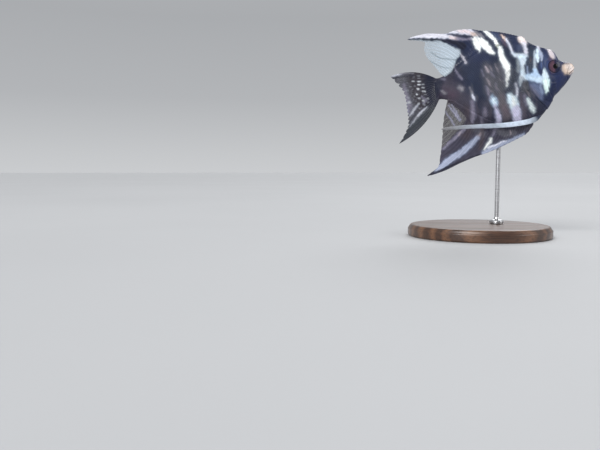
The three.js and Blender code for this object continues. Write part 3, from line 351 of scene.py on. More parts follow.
    ("dot", 0.87, 0.6, [(-14.0, -1.2, 0.58), (-13.8, -1.3, 0.58)]),
    ("dot", 0.31, 0.6, [(-9.6, -2.1, 0.48), (-8.3, -2.3, 0.48)]),
    ("dot", 0.65, 0.6, [(-13.0, -3.8, 0.64), (-12.7, -3.9, 0.64)]),
    ("dot", 0.67, 0.6, [(-10.9, -5.5, 0.64), (-10.5, -5.6, 0.64)]),
    ("dot", 0.49, 0.6, [(-8.0, -4.8, 0.69), (-7.6, -4.9, 0.69)]),
    ("dot", 0.40, 0.6, [(-8.1, -6.9, 0.59), (-7.6, -7.0, 0.59)]),
    ("dot", 0.58, 0.6, [(-13.7, -6.8, 0.59), (-13.2, -7.0, 0.59)]),
    ("dot", 0.50, 0.6, [(-10.6, -8.0, 0.48), (-10.2, -8.2, 0.48)]),
    ("dot", 0.45, 0.6, [(-13.5, -9.8, 0.53), (-13.1, -9.9, 0.53)]),
    ("dot", 0.47, 0.6, [(-12.3, 9.5, 0.35), (-10.9, 9.3, 0.35)]),
    ("dot", 0.45, 0.6, [(-12.1, 8.0, 0.29), (-10.8, 7.7, 0.29)]),
    ("dot", 0.29, 0.6, [(-14.9, 8.7, 0.43), (-14.0, 8.5, 0.43)]),
    ("dot", 0.40, 0.6, [(-19.2, 1.9, 0.53), (-18.7, 1.8, 0.53)]),
    ("dot", 0.56, 0.6, [(-19.3, -5.3, 0.80), (-18.8, -5.4, 0.80)]),
    ("dot", 0.27, 0.6, [(-19.2, -2.3, 0.42), (-18.6, -2.5, 0.42)]),
    ("dot", 0.25, 0.6, [(-16.8, 1.1, 0.42), (-16.3, 1.0, 0.42)]),
]

CLEAR_WINDOW = [  # the membrane between the dorsal filament and the tail stalk is clear
    (-22, 31.4), (-9.4, 29.9), (-1.3, 28.2), (3.6, 27.1), (8.9, 24.1), (14.5, 20.5), (13.5, 17.1), (11.5, 15.1), (9.8, 11.8), (8.3, 9.1), (3.9, 6.0),
    (-3, 4), (-22, 6)]
ANAL_WINDOW = [(-4, -4), (3.3, -6.7), (6.6, -9.6), (10.3, -13.7), (13.2, -18.9), (11.6, -22.8), (6.2, -26.8), (-0.7, -34.2), (-9, -38)]


def linear(rgb):
    c = np.asarray(rgb, float) / 255
    return np.where(c <= 0.04045, c / 12.92, ((c + 0.055) / 1.055) ** 2.4)


COLOUR = {name: linear(rgb) for name, rgb in PALETTE.items()}


def noise(x, y, size, seed):
    """Smooth value noise, -1 to 1, with features of about that size."""
    table = np.random.RandomState(seed).uniform(-1, 1, (128, 128))
    u, v = np.asarray(x) / size + 311.7, np.asarray(y) / size + 173.3
    i, j = np.floor(u).astype(int), np.floor(v).astype(int)
    f, g = u - i, v - j
    f, g = f * f * (3 - 2 * f), g * g * (3 - 2 * g)
    at = lambda a, b: table[a % 128, b % 128]
    return lerp(lerp(at(i, j), at(i + 1, j), f), lerp(at(i, j + 1), at(i + 1, j + 1), f), g)


def stroke_distance(x, z, points):
    """Distance outside a brush stroke whose half width varies along it; negative inside."""
    best = np.full(x.shape, 1e9)
    for (x0, z0, w0), (x1, z1, w1) in zip(points[:-1], points[1:]):
        dx, dz = x1 - x0, z1 - z0
        t = np.clip(((x - x0) * dx + (z - z0) * dz) / max(dx * dx + dz * dz, 1e-9), 0, 1)
        best = np.minimum(best, np.hypot(x - x0 - t * dx, z - z0 - t * dz) - (w0 + t * (w1 - w0)))
    return best


def polygon_distance(x, z, points):
    """Signed distance to a closed outline, negative inside."""
    best = np.full(x.shape, 1e9)
    inside = np.zeros(x.shape, bool)
    for (x0, z0), (x1, z1) in zip(points, points[1:] + points[:1]):
        dx, dz = x1 - x0, z1 - z0
        t = np.clip(((x - x0) * dx + (z - z0) * dz) / max(dx * dx + dz * dz, 1e-9), 0, 1)
        best = np.minimum(best, np.hypot(x - x0 - t * dx, z - z0 - t * dz))
        if dz:
            inside ^= ((z0 > z) != (z1 > z)) & (x < dx * (z - z0) / dz + x0)
    return np.where(inside, -best, best)


def mix(a, b, t):
    return a + (b - a) * np.asarray(t)[..., None]


RIDGE_X = np.arange(-2.6, 79.8, 0.1)
RIDGE_Z = [ridge(RIDGE_X, 0), ridge(RIDGE_X, 1)]
FINS_TOO = ("lavwhite", "finlav")


def marking(x, z, side=-1):
    """The fish's colour at a point of the side view, as linear RGB."""
    x, z = np.asarray(x, float).ravel(), np.asarray(z, float).ravel()
    wx = x + 0.20 * noise(x, z, 0.9, 3) + 0.16 * noise(x, z, 3.1, 4)
    wz = z + 0.30 * noise(x, z, 1.5, 5) + 0.18 * noise(x, z, 4.3, 6)
    if side > 0:  # the two sides of a marbled fish differ, but meet along the back and the belly
        inner = smooth(0.5, 6.0, np.minimum(np.interp(x, RIDGE_X, RIDGE_Z[0]) - z, z - np.interp(x, RIDGE_X, RIDGE_Z[1])))
        inner = inner * smooth(79, 66, x) * smooth(-4, 6, x)
        wx = wx + inner * (2.1 * np.sin(z * 0.23 + 0.9) + 1.3 * np.sin(x * 0.31 + z * 0.11 + 2.0))
        wz = wz + inner * (2.3 * np.sin(x * 0.19 + 2.2) + 1.1 * np.sin(z * 0.41 + 0.4))
    colour = np.tile(COLOUR["flank"], (x.size, 1))
    colour = mix(colour, COLOUR["finbase"], smooth(22, 27, z) * 0.6)
    colour = mix(colour, COLOUR["rear"], smooth(18, 5, x) * smooth(16, 8, z) * 0.85)
    colour = mix(colour, COLOUR["belly"], smooth(-13, -22, z) * smooth(-40, -30, z) * 0.6)
    colour = mix(colour, COLOUR["analdark"], smooth(-27, -31, z))
    colour = mix(colour, COLOUR["navy"], smooth(54, 64, x) * 0.7)
    # clouds of a paler grey-brown in the dark ground, drawn out into upright streaks low on the flank
    on_body = smooth(3, 14, x) * smooth(60, 50, x)
    streak = noise(wx + 0.12 * wz, wz * 0.28, 1.05, 14) * 0.6 + noise(wx + 0.15 * wz, wz * 0.35, 2.4, 15) * 0.6
    cloud = smooth(0.02, 0.70, streak) * on_body * smooth(8, -2, z) * smooth(-33, -25, z)
    colour = mix(colour, mix(np.tile(COLOUR["olive"], (x.size, 1)), COLOUR["brown"], smooth(-4, -14, z)), cloud * 0.50)
    mottle = noise(wx, wz * 0.7, 2.4, 8) * 0.5 + noise(wx, wz, 0.9, 9) * 0.35
    colour = colour * (1 + 0.26 * mottle)[:, None]
    # marks end in fingers along the rows of scales
    finger = 0.30 * noise(wx * 1.0 + 0.45 * wz, (wz - 0.45 * wx) * 0.45, 0.85, 16) + 0.16 * noise(wx, wz, 0.55, 17)
    for name, strength, soft, points in MARKS:
        p = np.array(points)
        pale = COLOUR[name].max() > 0.2
        halo = 1.2 if pale else 0.0
        reach = p[:, 2].max() + soft + halo + 0.9
        near = np.flatnonzero((wx > p[:, 0].min() - reach) & (wx < p[:, 0].max() + reach) & (wz > p[:, 1].min() - reach) & (wz < p[:, 1].max() + reach))
        if not near.size:
            continue
        d = stroke_distance(wx[near], wz[near], points) + finger[near] * min(1.0, 0.35 + p[:, 2].max() * 0.5)
        shade = COLOUR[name] * (1 + 0.07 * noise(x[near], z[near], 1.3, 12))[:, None]
        if pale:
            colour[near] = mix(colour[near], COLOUR[name] * np.array([0.42, 0.46, 0.54]), smooth(soft * 0.6 + halo, -0.1, d) * 0.26 * strength)
            shade = shade * (1 - np.array([0.15, 0.11, 0.07]) * smooth(-0.9, 0.25, d)[:, None])
        colour[near] = mix(colour[near], shade, smooth(soft * 0.80, -soft * 0.80, d) * strength)
        if name == "olive":  # fine pale streaks that run down and back over the olive ground
            rise = noise((wx[near] * 0.91 + wz[near] * 0.42), (wz[near] * 0.91 - wx[near] * 0.42) * 0.22, 0.62, 18)
            colour[near] = mix(colour[near], COLOUR["pale"], smooth(0.15, 0.95, rise) * smooth(0.2, -2.2, d) * 0.42 * strength)
    return colour


# ---------------------------------------------------------------- meshes
def world(p):
    """Fish frame in millimetres to the object's frame in metres."""
    p = np.asarray(p, float)
    c, s = math.cos(NOSE_UP), math.sin(NOSE_UP)
    return np.stack([TAIL_END[0] + p[..., 0] * c - p[..., 2] * s, p[..., 1], TAIL_END[1] + p[..., 0] * s + p[..., 2] * c], -1) * 0.001


def grid_faces(nu, nv, wrap=False, base=0, flip=False):
    i, j = np.arange(nu - 1)[:, None], np.arange(nv if wrap else nv - 1)[None, :]
    a, b = i * nv + j, i * nv + (j + 1) % nv
    q = np.stack([a, a + nv, b + nv, b], -1).reshape(-1, 4) + base
    return q[:, ::-1] if flip else q


def piece(name, verts, faces, material, slot, colour=None, opacity=None, flat=None, uv=None):
    """A closed mesh that rides on the part. faces holds arrays of quads and of triangles; flat marks faces with crisp edges."""
    me = bpy.data.meshes.new(name)
    verts = np.asarray(verts, float).reshape(-1, 3)
    me.vertices.add(len(verts))
    me.vertices.foreach_set("co", verts.astype(np.float32).ravel())
    faces = [np.asarray(f, np.int32) for f in faces if len(f)]
    loops = np.concatenate([f.ravel() for f in faces])
    sizes = np.concatenate([np.full(len(f), f.shape[1], np.int32) for f in faces])
    me.loops.add(len(loops))
    me.loops.foreach_set("vertex_index", loops)
    me.polygons.add(len(sizes))
    me.polygons.foreach_set("loop_start", (np.cumsum(sizes) - sizes).astype(np.int32))
    soft = np.ones(len(sizes), bool) if flat is None else ~flat
    me.polygons.foreach_set("use_smooth", soft)
    me.update(calc_edges=True)
    if colour is not None:
        rgba = np.ones((len(verts), 4), np.float32)
        rgba[:, :3] = np.clip(colour, 0, 1)
        me.color_attributes.new("Col", "FLOAT_COLOR", "POINT").data.foreach_set("color", rgba.ravel())
    if opacity is not None:
        me.attributes.new("Opacity", "FLOAT", "POINT").data.foreach_set("value", np.asarray(opacity, np.float32).ravel())
    if uv is not None:
        me.uv_layers.new(name="OFBake").data.foreach_set("uv", np.asarray(uv, np.float32)[loops].ravel())
    me.materials.append(material)
    obj = bpy.data.objects.new(name, me)
    bpy.context.scene.collection.objects.link(obj)
    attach(obj, "root")
    return obj


def volume(verts, faces):
    """Signed volume, to tell which way a closed mesh faces."""
    total = 0.0
    for f in faces:
        if not len(f):
            continue
        p = verts[f]
        for k in range(1, f.shape[1] - 1):
            total += np.einsum("ij,ij->i", p[:, 0], np.cross(p[:, k], p[:, k + 1])).sum()
    return total / 6


def facing_out(verts, faces):
    faces = [np.asarray(f) for f in faces]
    return [f[:, ::-1] for f in faces] if volume(np.asarray(verts, float), faces) < 0 else faces


# ---------------------------------------------------------------- materials
def tree(name):
    m = bpy.data.materials.new(name)
    m.use_nodes = True
    nt = m.node_tree
    nt.nodes.clear()
    out, sh = nt.nodes.new("ShaderNodeOutputMaterial"), nt.nodes.new("ShaderNodeBsdfPrincipled")
    nt.links.new(sh.outputs[0], out.inputs["Surface"])

    def node(kind, values=None, **links):
        n = nt.nodes.new("ShaderNode" + kind)
        for k, v in (values or {}).items():
            if isinstance(k, int) or k in n.inputs:
                n.inputs[k].default_value = v
            else:
                setattr(n, k, v)
        for k, v in links.items():
            nt.links.new(v, n.inputs[k.replace("_", " ")])
        return n

    return m, nt, sh, node


def set_inputs(sh, **values):
    for k, v in values.items():
        sh.inputs[k.replace("_", " ")].default_value = v


def hide_material(name, pore=2600.0, fine=0.10, rough=(0.26, 0.46), coat=0.35, coat_rough=0.12, variation=0.10, opacity=False, bump_mm=0.05, specular=0.32):
    """Pigmented hide, scale or fin under a thin clear film."""
    m, nt, sh, node = tree(name)
    place = node("TexCoord").outputs["Object"]
    col = node("Attribute", {"attribute_name": "Col"})
    grain = node("TexNoise", {"Scale": 1400.0, "Detail": 3.0, "Roughness": 0.6}, Vector=place)
    level = node("MapRange", {"From Min": 0.3, "From Max": 0.7, "To Min": 1 - variation, "To Max": 1 + variation}, Value=grain.outputs[0])
    tint = node("VectorMath", {"operation": "SCALE"}, Vector=col.outputs["Color"], Scale=level.outputs[0])
    nt.links.new(tint.outputs[0], sh.inputs["Base Color"])
    patch = node("TexNoise", {"Scale": 420.0, "Detail": 2.0}, Vector=place)
    r = node("MapRange", {"From Min": 0.3, "From Max": 0.7, "To Min": rough[0], "To Max": rough[1]}, Value=patch.outputs[0])
    nt.links.new(r.outputs[0], sh.inputs["Roughness"])
    tiny = node("TexNoise", {"Scale": pore, "Detail": 2.0}, Vector=place)
    bump = node("Bump", {"Strength": fine, "Distance": bump_mm * 0.001}, Height=tiny.outputs[0])
    nt.links.new(bump.outputs[0], sh.inputs["Normal"])
    set_inputs(sh, Coat_Weight=coat, Coat_Roughness=coat_rough, IOR=1.45, Specular_IOR_Level=specular)
    if opacity:
        a = node("Attribute", {"attribute_name": "Opacity"})
        nt.links.new(a.outputs["Fac"], sh.inputs["Alpha"])
    return m


def wood_material(name):
    m, nt, sh, node = tree(name)
    place = node("TexCoord").outputs["Object"]
    long = node("Mapping", {"Scale": (14.0, 120.0, 60.0)}, Vector=place)
    wander = node("TexNoise", {"Scale": 1.0, "Detail": 4.0, "Roughness": 0.55}, Vector=long.outputs[0])
    rings = node("Mapping", {"Scale": (2.2, 26.0, 26.0), "Location": (0.0, 0.031, -0.045)}, Vector=place)
    bands = node("TexWave", {"Scale": 1.6, "Distortion": 5.5, "Detail": 3.0, "Detail Scale": 1.3, "wave_type": "RINGS", "rings_direction": "X"}, Vector=rings.outputs[0])
    pores = node("Mapping", {"Scale": (90.0, 1500.0, 1500.0)}, Vector=place)
    pore = node("TexNoise", {"Scale": 1.0, "Detail": 2.0}, Vector=pores.outputs[0])
    both = node("Math", {"operation": "MULTIPLY_ADD", 1: 0.35})
    nt.links.new(wander.outputs[0], both.inputs[0])
    nt.links.new(bands.outputs["Fac"], both.inputs[2])
    ramp = node("ValToRGB", {}, Fac=both.outputs[0])
    e = ramp.color_ramp.elements
    e[0].position, e[0].color = 0.12, (0.150, 0.070, 0.034, 1)
    e[1].position, e[1].color = 1.0, (0.052, 0.022, 0.011, 1)
    mid = e.new(0.55)
    mid.color = (0.098, 0.043, 0.021, 1)
    dark = node("MapRange", {"From Min": 0.36, "From Max": 0.5, "To Min": 0.55, "To Max": 1.0}, Value=pore.outputs[0])
    tint = node("VectorMath", {"operation": "SCALE"}, Vector=ramp.outputs[0], Scale=dark.outputs[0])
    nt.links.new(tint.outputs[0], sh.inputs["Base Color"])
    r = node("MapRange", {"From Min": 0.3, "From Max": 0.7, "To Min": 0.30, "To Max": 0.46}, Value=wander.outputs[0])
    nt.links.new(r.outputs[0], sh.inputs["Roughness"])
    bump = node("Bump", {"Strength": 0.35, "Distance": 0.00008}, Height=pore.outputs[0])
    nt.links.new(bump.outputs[0], sh.inputs["Normal"])
    set_inputs(sh, Coat_Weight=0.3, Coat_Roughness=0.22)
    return m


def steel_material(name):
    m, nt, sh, node = tree(name)
    place = node("TexCoord").outputs["Object"]
    turned = node("Mapping", {"Scale": (40.0, 40.0, 5200.0)}, Vector=place)
    lines = node("TexNoise", {"Scale": 1.0, "Detail": 2.0}, Vector=turned.outputs[0])
    c = node("ValToRGB", {}, Fac=lines.outputs[0])
    c.color_ramp.elements[0].position, c.color_ramp.elements[0].color = 0.35, (0.42, 0.42, 0.43, 1)
    c.color_ramp.elements[1].position, c.color_ramp.elements[1].color = 0.65, (0.60, 0.60, 0.61, 1)
    nt.links.new(c.outputs[0], sh.inputs["Base Color"])
    r = node("MapRange", {"From Min": 0.3, "From Max": 0.7, "To Min": 0.26, "To Max": 0.38}, Value=lines.outputs[0])
    nt.links.new(r.outputs[0], sh.inputs["Roughness"])
    bump = node("Bump", {"Strength": 0.12, "Distance": 0.00002}, Height=lines.outputs[0])
    nt.links.new(bump.outputs[0], sh.inputs["Normal"])
    set_inputs(sh, Metallic=1.0)
    return m


def eye_material(name):
    m, nt, sh, node = tree(name)
    place = node("TexCoord").outputs["Object"]
    col = node("Attribute", {"attribute_name": "Col"})
    grain = node("TexNoise", {"Scale": 2600.0, "Detail": 3.0}, Vector=place)
    level = node("MapRange", {"From Min": 0.3, "From Max": 0.7, "To Min": 0.8, "To Max": 1.2}, Value=grain.outputs[0])
    tint = node("VectorMath", {"operation": "SCALE"}, Vector=col.outputs["Color"], Scale=level.outputs[0])
    nt.links.new(tint.outputs[0], sh.inputs["Base Color"])
    r = node("MapRange", {"From Min": 0.3, "From Max": 0.7, "To Min": 0.18, "To Max": 0.32}, Value=grain.outputs[0])
    nt.links.new(r.outputs[0], sh.inputs["Roughness"])
    set_inputs(sh, Coat_Weight=0.18, Coat_Roughness=0.08, IOR=1.4, Specular_IOR_Level=0.12)
    return m


def floor_material(name):
    m, nt, sh, node = tree(name)
    place = node("TexCoord").outputs["Object"]
    n = node("TexNoise", {"Scale": 3.0, "Detail": 4.0}, Vector=place)
    c = node("ValToRGB", {}, Fac=n.outputs[0])
    c.color_ramp.elements[0].position, c.color_ramp.elements[0].color = 0.3, (0.425, 0.433, 0.445, 1)
    c.color_ramp.elements[1].position, c.color_ramp.elements[1].color = 0.7, (0.450, 0.458, 0.470, 1)
    nt.links.new(c.outputs[0], sh.inputs["Base Color"])
    set_inputs(sh, Roughness=0.75)
    return m


SKIN_MATERIAL = hide_material("skin_hide", pore=2400.0, fine=0.35, rough=(0.32, 0.52), coat=0.14, coat_rough=0.14, bump_mm=0.06, specular=0.24)
SCALE_MATERIAL = hide_material("scale_plate", pore=3200.0, fine=0.12, rough=(0.30, 0.48), coat=0.14, coat_rough=0.12, variation=0.06, specular=0.24)
FIN_MATERIAL = hide_material("fin_membrane", pore=3000.0, fine=0.15, rough=(0.30, 0.48), coat=0.25, coat_rough=0.15, opacity=True, variation=0.06)
CLEAR_FIN_MATERIAL = hide_material("fin_clear", pore=3000.0, fine=0.15, rough=(0.42, 0.58), coat=0.05, coat_rough=0.2, opacity=True, variation=0.05, specular=0.2)
EYE_MATERIAL = eye_material("eye_glass")
WOOD_MATERIAL = wood_material("stand_walnut")
STEEL_MATERIAL = steel_material("stand_steel")
FLOOR_MATERIAL = floor_material("studio_floor")


# ---------------------------------------------------------------- the skin
SKIN_DEPTH = 0.30  # under the scales the skin lies this far inside the solids; the scales fill the rest
MOUTH = [(81.0, 0.45), (79.4, -0.55), (77.4, -1.85), (75.2, -3.1)]
MAXILLA = [(76.9, 2.0), (75.5, 0.3), (74.5, -1.8), (74.0, -4.2), (74.3, -6.4)]
CHIN = [(75.0, -3.6), (73.6, -6.2), (71.6, -9.6), (69.2, -13.0)]
CHEEK = [(71.2, -1.6), (69.6, -4.6), (66.8, -6.4), (63.4, -6.2), (61.2, -3.6), (60.8, 0.4)]
LOWER_PLATE = [(50.9, -7.6), (54.6, -12.6), (59.2, -16.2), (64.2, -18.6)]
NOSTRIL = (73.2, 3.5, 0.42)


def skin_depth(x):
    """The coat's depth at a station: the face has no scales, so its skin lies just inside the solids."""
    x = np.asarray(x, float)
    return lerp(SKIN_DEPTH, 0.10, smooth(66.5, 70.5, x) * smooth(78.5, 75.0, x))


def curve(points, count=40):
    """A smooth centripetal curve through points."""
    p = np.array(points, float)
    run = np.concatenate([[0], np.cumsum(np.maximum(np.hypot(*np.diff(p, axis=0).T), 1e-6))])
    return [tuple(v) for v in track(np.column_stack([run, p]))(np.linspace(0, run[-1], count))]


def curve_distance(x, z, points):
    """(distance to a curve, signed: positive to its right going along it; the share of its length reached)"""
    best, sign, part = np.full(x.shape, 1e9), np.ones(x.shape), np.zeros(x.shape)
    n = len(points) - 1
    for k in range(n):
        (x0, z0), (x1, z1) = points[k], points[k + 1]
        dx, dz = x1 - x0, z1 - z0
        t = np.clip(((x - x0) * dx + (z - z0) * dz) / max(dx * dx + dz * dz, 1e-12), 0, 1)
        d = np.hypot(x - x0 - t * dx, z - z0 - t * dz)
        near = d < best
        best = np.where(near, d, best)
        side = (x - x0) * dz - (z - z0) * dx
        sign = np.where(near, np.where(side >= 0, 1.0, -1.0), sign)
        part = np.where(near, (k + t) / n, part)
    return best * sign, part


GILL_CURVE = curve(GILL_EDGE[1:-1], 48)
PREOPERCLE_CURVE = curve(PREOPERCLE, 36)
MOUTH_CURVE, MAXILLA_CURVE, CHIN_CURVE = curve(MOUTH, 16), curve(MAXILLA, 16), curve(CHIN, 12)
CHEEK_CURVE, LOWER_CURVE = curve(CHEEK, 24), curve(LOWER_PLATE, 16)


def gill_distance(x, z):
    """Distance ahead of the gill cover's rear edge (negative behind it)."""
    d, _ = curve_distance(x, z, GILL_CURVE)
    return -d


def relief(x, z):
    """(height of the skin's relief in mm, painted shade of its folds, slits and pits from 0 to 1) at a point of the
    side view.
    """
    x, z = np.asarray(x, float), np.asarray(z, float)
    shape = x.shape
    x, z = x.ravel(), z.ravel()
    h, fold = np.zeros(x.size), np.zeros(x.size)
    f = np.flatnonzero(x > 46)
    if f.size:
        u, w = x[f], z[f]
        # painted shade: the second sum below only darkens the colour in the fold under the gill cover's edge, along the
        # bone margins and jaw folds, in the mouth slit, the nostril and the eye socket's crease
        hh, fold_shade = np.zeros(f.size), np.zeros(f.size)
        # the gill cover's free edge stands over the shoulder, and fades out at its top
        g = gill_distance(u, w)
        live = smooth(10.5, 6.5, w)
        step = smooth(-0.14, 0.12, g)
        hh += live * lerp(-0.34 * np.exp(np.minimum(g, 0) / 1.1), 0.18 * np.exp(-np.maximum(g, 0) / 4.5), step)
        fold_shade += live * 0.26 * np.exp(-((g + 0.22) / 0.26) ** 2)
        # the membrane along that edge
        hh += live * -0.09 * np.exp(-((g - 1.15) / 0.22) ** 2)
        # the preopercle's margin
        p, q = curve_distance(u, w, PREOPERCLE_CURVE)
        ends = smooth(0.0, 0.12, q) * smooth(1.0, 0.85, q)
        hh += ends * (-0.20 * np.exp(-(p / 0.26) ** 2) + 0.10 * np.exp(-((p - 0.9) / 0.55) ** 2))
        fold_shade += ends * 0.4 * np.exp(-(p / 0.22) ** 2)
        p, q = curve_distance(u, w, LOWER_CURVE)
        ends = smooth(0.0, 0.2, q) * smooth(1.0, 0.8, q)
        hh += ends * -0.16 * np.exp(-(p / 0.24) ** 2)
        fold_shade += ends * 0.3 * np.exp(-(p / 0.2) ** 2)
        # bones under the eye
        p, q = curve_distance(u, w, CHEEK_CURVE)
        ends = smooth(0.0, 0.2, q) * smooth(1.0, 0.8, q)
        hh += ends * (-0.14 * np.exp(-(p / 0.34) ** 2) + 0.07 * np.exp(-((p + 0.9) / 0.6) ** 2))
        # jaw folds
        p, q = curve_distance(u, w, MAXILLA_CURVE)
        ends = smooth(0.0, 0.2, q) * smooth(1.0, 0.75, q)
        hh += ends * (-0.24 * np.exp(-(p / 0.24) ** 2) + 0.10 * np.exp(-((np.abs(p) - 0.7) / 0.4) ** 2))
        fold_shade += ends * 0.5 * np.exp(-(p / 0.18) ** 2)
        p, q = curve_distance(u, w, CHIN_CURVE)
        ends = smooth(0.0, 0.15, q) * smooth(1.0, 0.6, q)
        hh += ends * -0.16 * np.exp(-(p / 0.3) ** 2)
        fold_shade += ends * 0.25 * np.exp(-(p / 0.2) ** 2)
        # the mouth: a slit between two rolled lips
        p, q = curve_distance(u, w, MOUTH_CURVE)
        ends = smooth(1.0, 0.9, q)
        lips = smooth(1.0, 0.72, q)
        hh += ends * -0.75 * np.exp(-(p / 0.20) ** 2) + lips * 0.26 * np.exp(-((np.abs(p) - 0.72) / 0.42) ** 2)
        hh += lips * -0.10 * np.exp(-((np.abs(p) - 1.55) / 0.28) ** 2)
        fold_shade += ends * 0.9 * np.exp(-(p / 0.13) ** 2)
        # nostril
        r = np.hypot(u - NOSTRIL[0], w - NOSTRIL[1])
        hh += -0.5 * np.exp(-(r / (NOSTRIL[2] * 0.75)) ** 2) + 0.10 * np.exp(-((r - NOSTRIL[2] * 1.5) / 0.25) ** 2)
        fold_shade += 0.95 * np.exp(-(r / (NOSTRIL[2] * 0.8)) ** 2)
        # the eye's socket: a low rim, and a floor under the ball
        r = np.hypot(u - EYE["x"], w - EYE["z"])
        hh += 0.24 * np.exp(-((r - 4.1) / 0.5) ** 2) - 0.10 * np.exp(-((r - 5.4) / 0.6) ** 2)
        hh = np.where(r < 3.75, lerp(-1.6, hh, smooth(3.30, 3.75, r)), hh)
        fold_shade += 0.40 * np.exp(-((r - 3.62) / 0.22) ** 2)
        # a faint relief of sensory pores and folds over the snout and brow
        hh += 0.03 * noise(u, w, 1.0, 41) * smooth(62, 68, u)
        h[f], fold[f] = hh, fold_shade
    return h.reshape(shape), np.clip(fold, 0, 1).reshape(shape)


def end_taper(x):
    """The tail stalk thins where the tail fin grows out of it."""
    return lerp(1.0, 0.42, smooth(1.5, -3.4, np.asarray(x, float)))


AROUND = 128
runs = np.concatenate([
    np.linspace(0.10, 2.0, 18, endpoint=False), np.linspace(2.0, 14.0, 86, endpoint=False), np.linspace(14.0, 36.0, 104, endpoint=False),
    np.linspace(36.0, LENGTH_RUN, 132)])
angles = np.pi * np.arange(2 * AROUND) / AROUND
down = (1 - np.cos(angles)) / 2
mid_x = outline_track(runs)[:, [0, 2]].mean(1)
sec = [v[:, None] for v in section(runs, -skin_depth(mid_x))]
SX = lerp(sec[0], sec[2], down)
SZ = lerp(sec[1], sec[3], down)
side_of = np.where(np.arange(2 * AROUND) > AROUND, 1.0, -1.0)
SY = section_y(sec, down) * side_of * end_taper(SX)
skin = np.stack([SX, SY, SZ], -1)
along = np.gradient(skin, axis=0)
round_ = np.roll(skin, -1, 1) - np.roll(skin, 1, 1)
normal = np.cross(round_, along)
normal /= np.maximum(np.linalg.norm(normal, axis=-1, keepdims=True), 1e-9)
outward = np.sign((normal * (skin - skin.mean(1, keepdims=True))).sum(-1).mean())
normal *= outward
lift, painted_crease_shade = relief(SX, SZ)
lift = lift * smooth(0.0, 1.6, runs)[:, None] + (1 - smooth(0.0, 1.6, runs))[:, None] * np.minimum(lift, 0) * 0.6
lift = lift - 0.07 * smooth(77.0, 79.2, SX)
skin = skin + normal * lift[..., None]
skin[..., 0] = np.where(skin[..., 0] > 78.8, 78.8 + (skin[..., 0] - 78.8) * 0.90, skin[..., 0])  # the lips stay short of the solids' front
shade = np.where((side_of > 0)[None, :, None], marking(SX, SZ, 1).reshape(*SX.shape, 3), marking(SX, SZ, -1).reshape(*SX.shape, 3))
# painted shade: the skin's colour is darkened in the folds, slits and pits that relief() gives
shade = shade * (1 - 0.82 * painted_crease_shade)[..., None]
skin[..., 1] += sweep(skin[..., 0])
R, M = skin.shape[:2]
nose = np.array([[skin[0, :, 0].mean() + 0.02, sweep(80.0), 0.25]])
tail = np.array([[STALK_END_X - 0.9, sweep(-3.5), -0.15]])
verts = np.concatenate([skin.reshape(-1, 3), nose, tail])
fan = np.arange(M)
caps = np.concatenate([
    np.stack([np.full(M, R * M), fan, (fan + 1) % M], -1),
    np.stack([np.full(M, R * M + 1), (R - 1) * M + (fan + 1) % M, (R - 1) * M + fan], -1)])
faces = facing_out(verts, [grid_faces(R, M, wrap=True), caps])
if volume(verts, [faces[0]]) * volume(verts, [faces[1]]) < 0:
    faces[1] = faces[1][:, ::-1]
colours = np.concatenate([shade.reshape(-1, 3), shade[0].mean(0, keepdims=True), shade[-1].mean(0, keepdims=True)])
skin_obj = piece("skin", world(verts), faces, SKIN_MATERIAL, "body_skin", colours)
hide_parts("head", "lower_jaw", "gill_cover_right", "gill_cover_left", "trunk", "tail_stalk")


# ---------------------------------------------------------------- the scales
# The flank is laid out by x and by the length a of the section's arc, measured up from its middle.
TABLE_X = np.arange(-3.4, 79.0, 0.25)
TABLE_A = np.arange(-44.0, 44.01, 0.1)
_t = np.linspace(0, 1, 221)
_cos = (1 - np.cos(np.pi * _t)) / 2
_top, _bot = ridge(TABLE_X, 0) - skin_depth(TABLE_X), ridge(TABLE_X, 1) + skin_depth(TABLE_X)
_z = _top[:, None] + (_bot - _top)[:, None] * _cos
_x = np.repeat(TABLE_X[:, None], len(_t), 1)
_y = flank(_x, _z, -skin_depth(_x)) * end_taper(_x)
_y[:, 0] = _y[:, -1] = 0
_arc = np.concatenate([np.zeros((len(TABLE_X), 1)), np.cumsum(np.hypot(np.diff(_z, axis=1), np.diff(_y, axis=1)), 1)], 1)
ARC_TOP, ARC_LOW = np.zeros(len(TABLE_X)), np.zeros(len(TABLE_X))
TABLE_Z, TABLE_Y = np.zeros((len(TABLE_X), len(TABLE_A))), np.zeros((len(TABLE_X), len(TABLE_A)))
for i in range(len(TABLE_X)):
    mid = np.interp(-(_top[i] + _bot[i]) / 2, -_z[i], _arc[i])
    a = mid - _arc[i]
    ARC_TOP[i], ARC_LOW[i] = a[0], a[-1]
    q = TABLE_A.copy()
    over, under = q > a[0], q < a[-1]
    q = np.where(over, 2 * a[0] - q, np.where(under, 2 * a[-1] - q, q))  # past the ridge the arc goes on down the other side
    TABLE_Z[i] = np.interp(-q, -a, _z[i])
    TABLE_Y[i] = np.interp(-q, -a, _y[i]) * np.where(over | under, -1, 1)


def on_skin(x, a):
    """(y, z) of the skin's plain surface at x and arc a, on the side where y is positive."""
    fi = np.clip((x - TABLE_X[0]) / 0.25, 0, len(TABLE_X) - 1.001)
    fj = np.clip((a - TABLE_A[0]) / 0.1, 0, len(TABLE_A) - 1.001)
    i, j = fi.astype(int), fj.astype(int)
    f, g = fi - i, fj - j
    at = lambda T: lerp(lerp(T[i, j], T[i + 1, j], f), lerp(T[i, j + 1], T[i + 1, j + 1], f), g)
    return at(TABLE_Y), at(TABLE_Z)


def scale_length(x):
    """Length of a scale's bare field: largest on the flank, smaller on the tail stalk and the head."""
    return np.interp(x, [-3, 6, 16, 28, 44, 51, 55, 60, 66, 72], [0.66, 0.84, 1.05, 1.26, 1.26, 1.10, 0.90, 0.74, 0.66, 0.62])


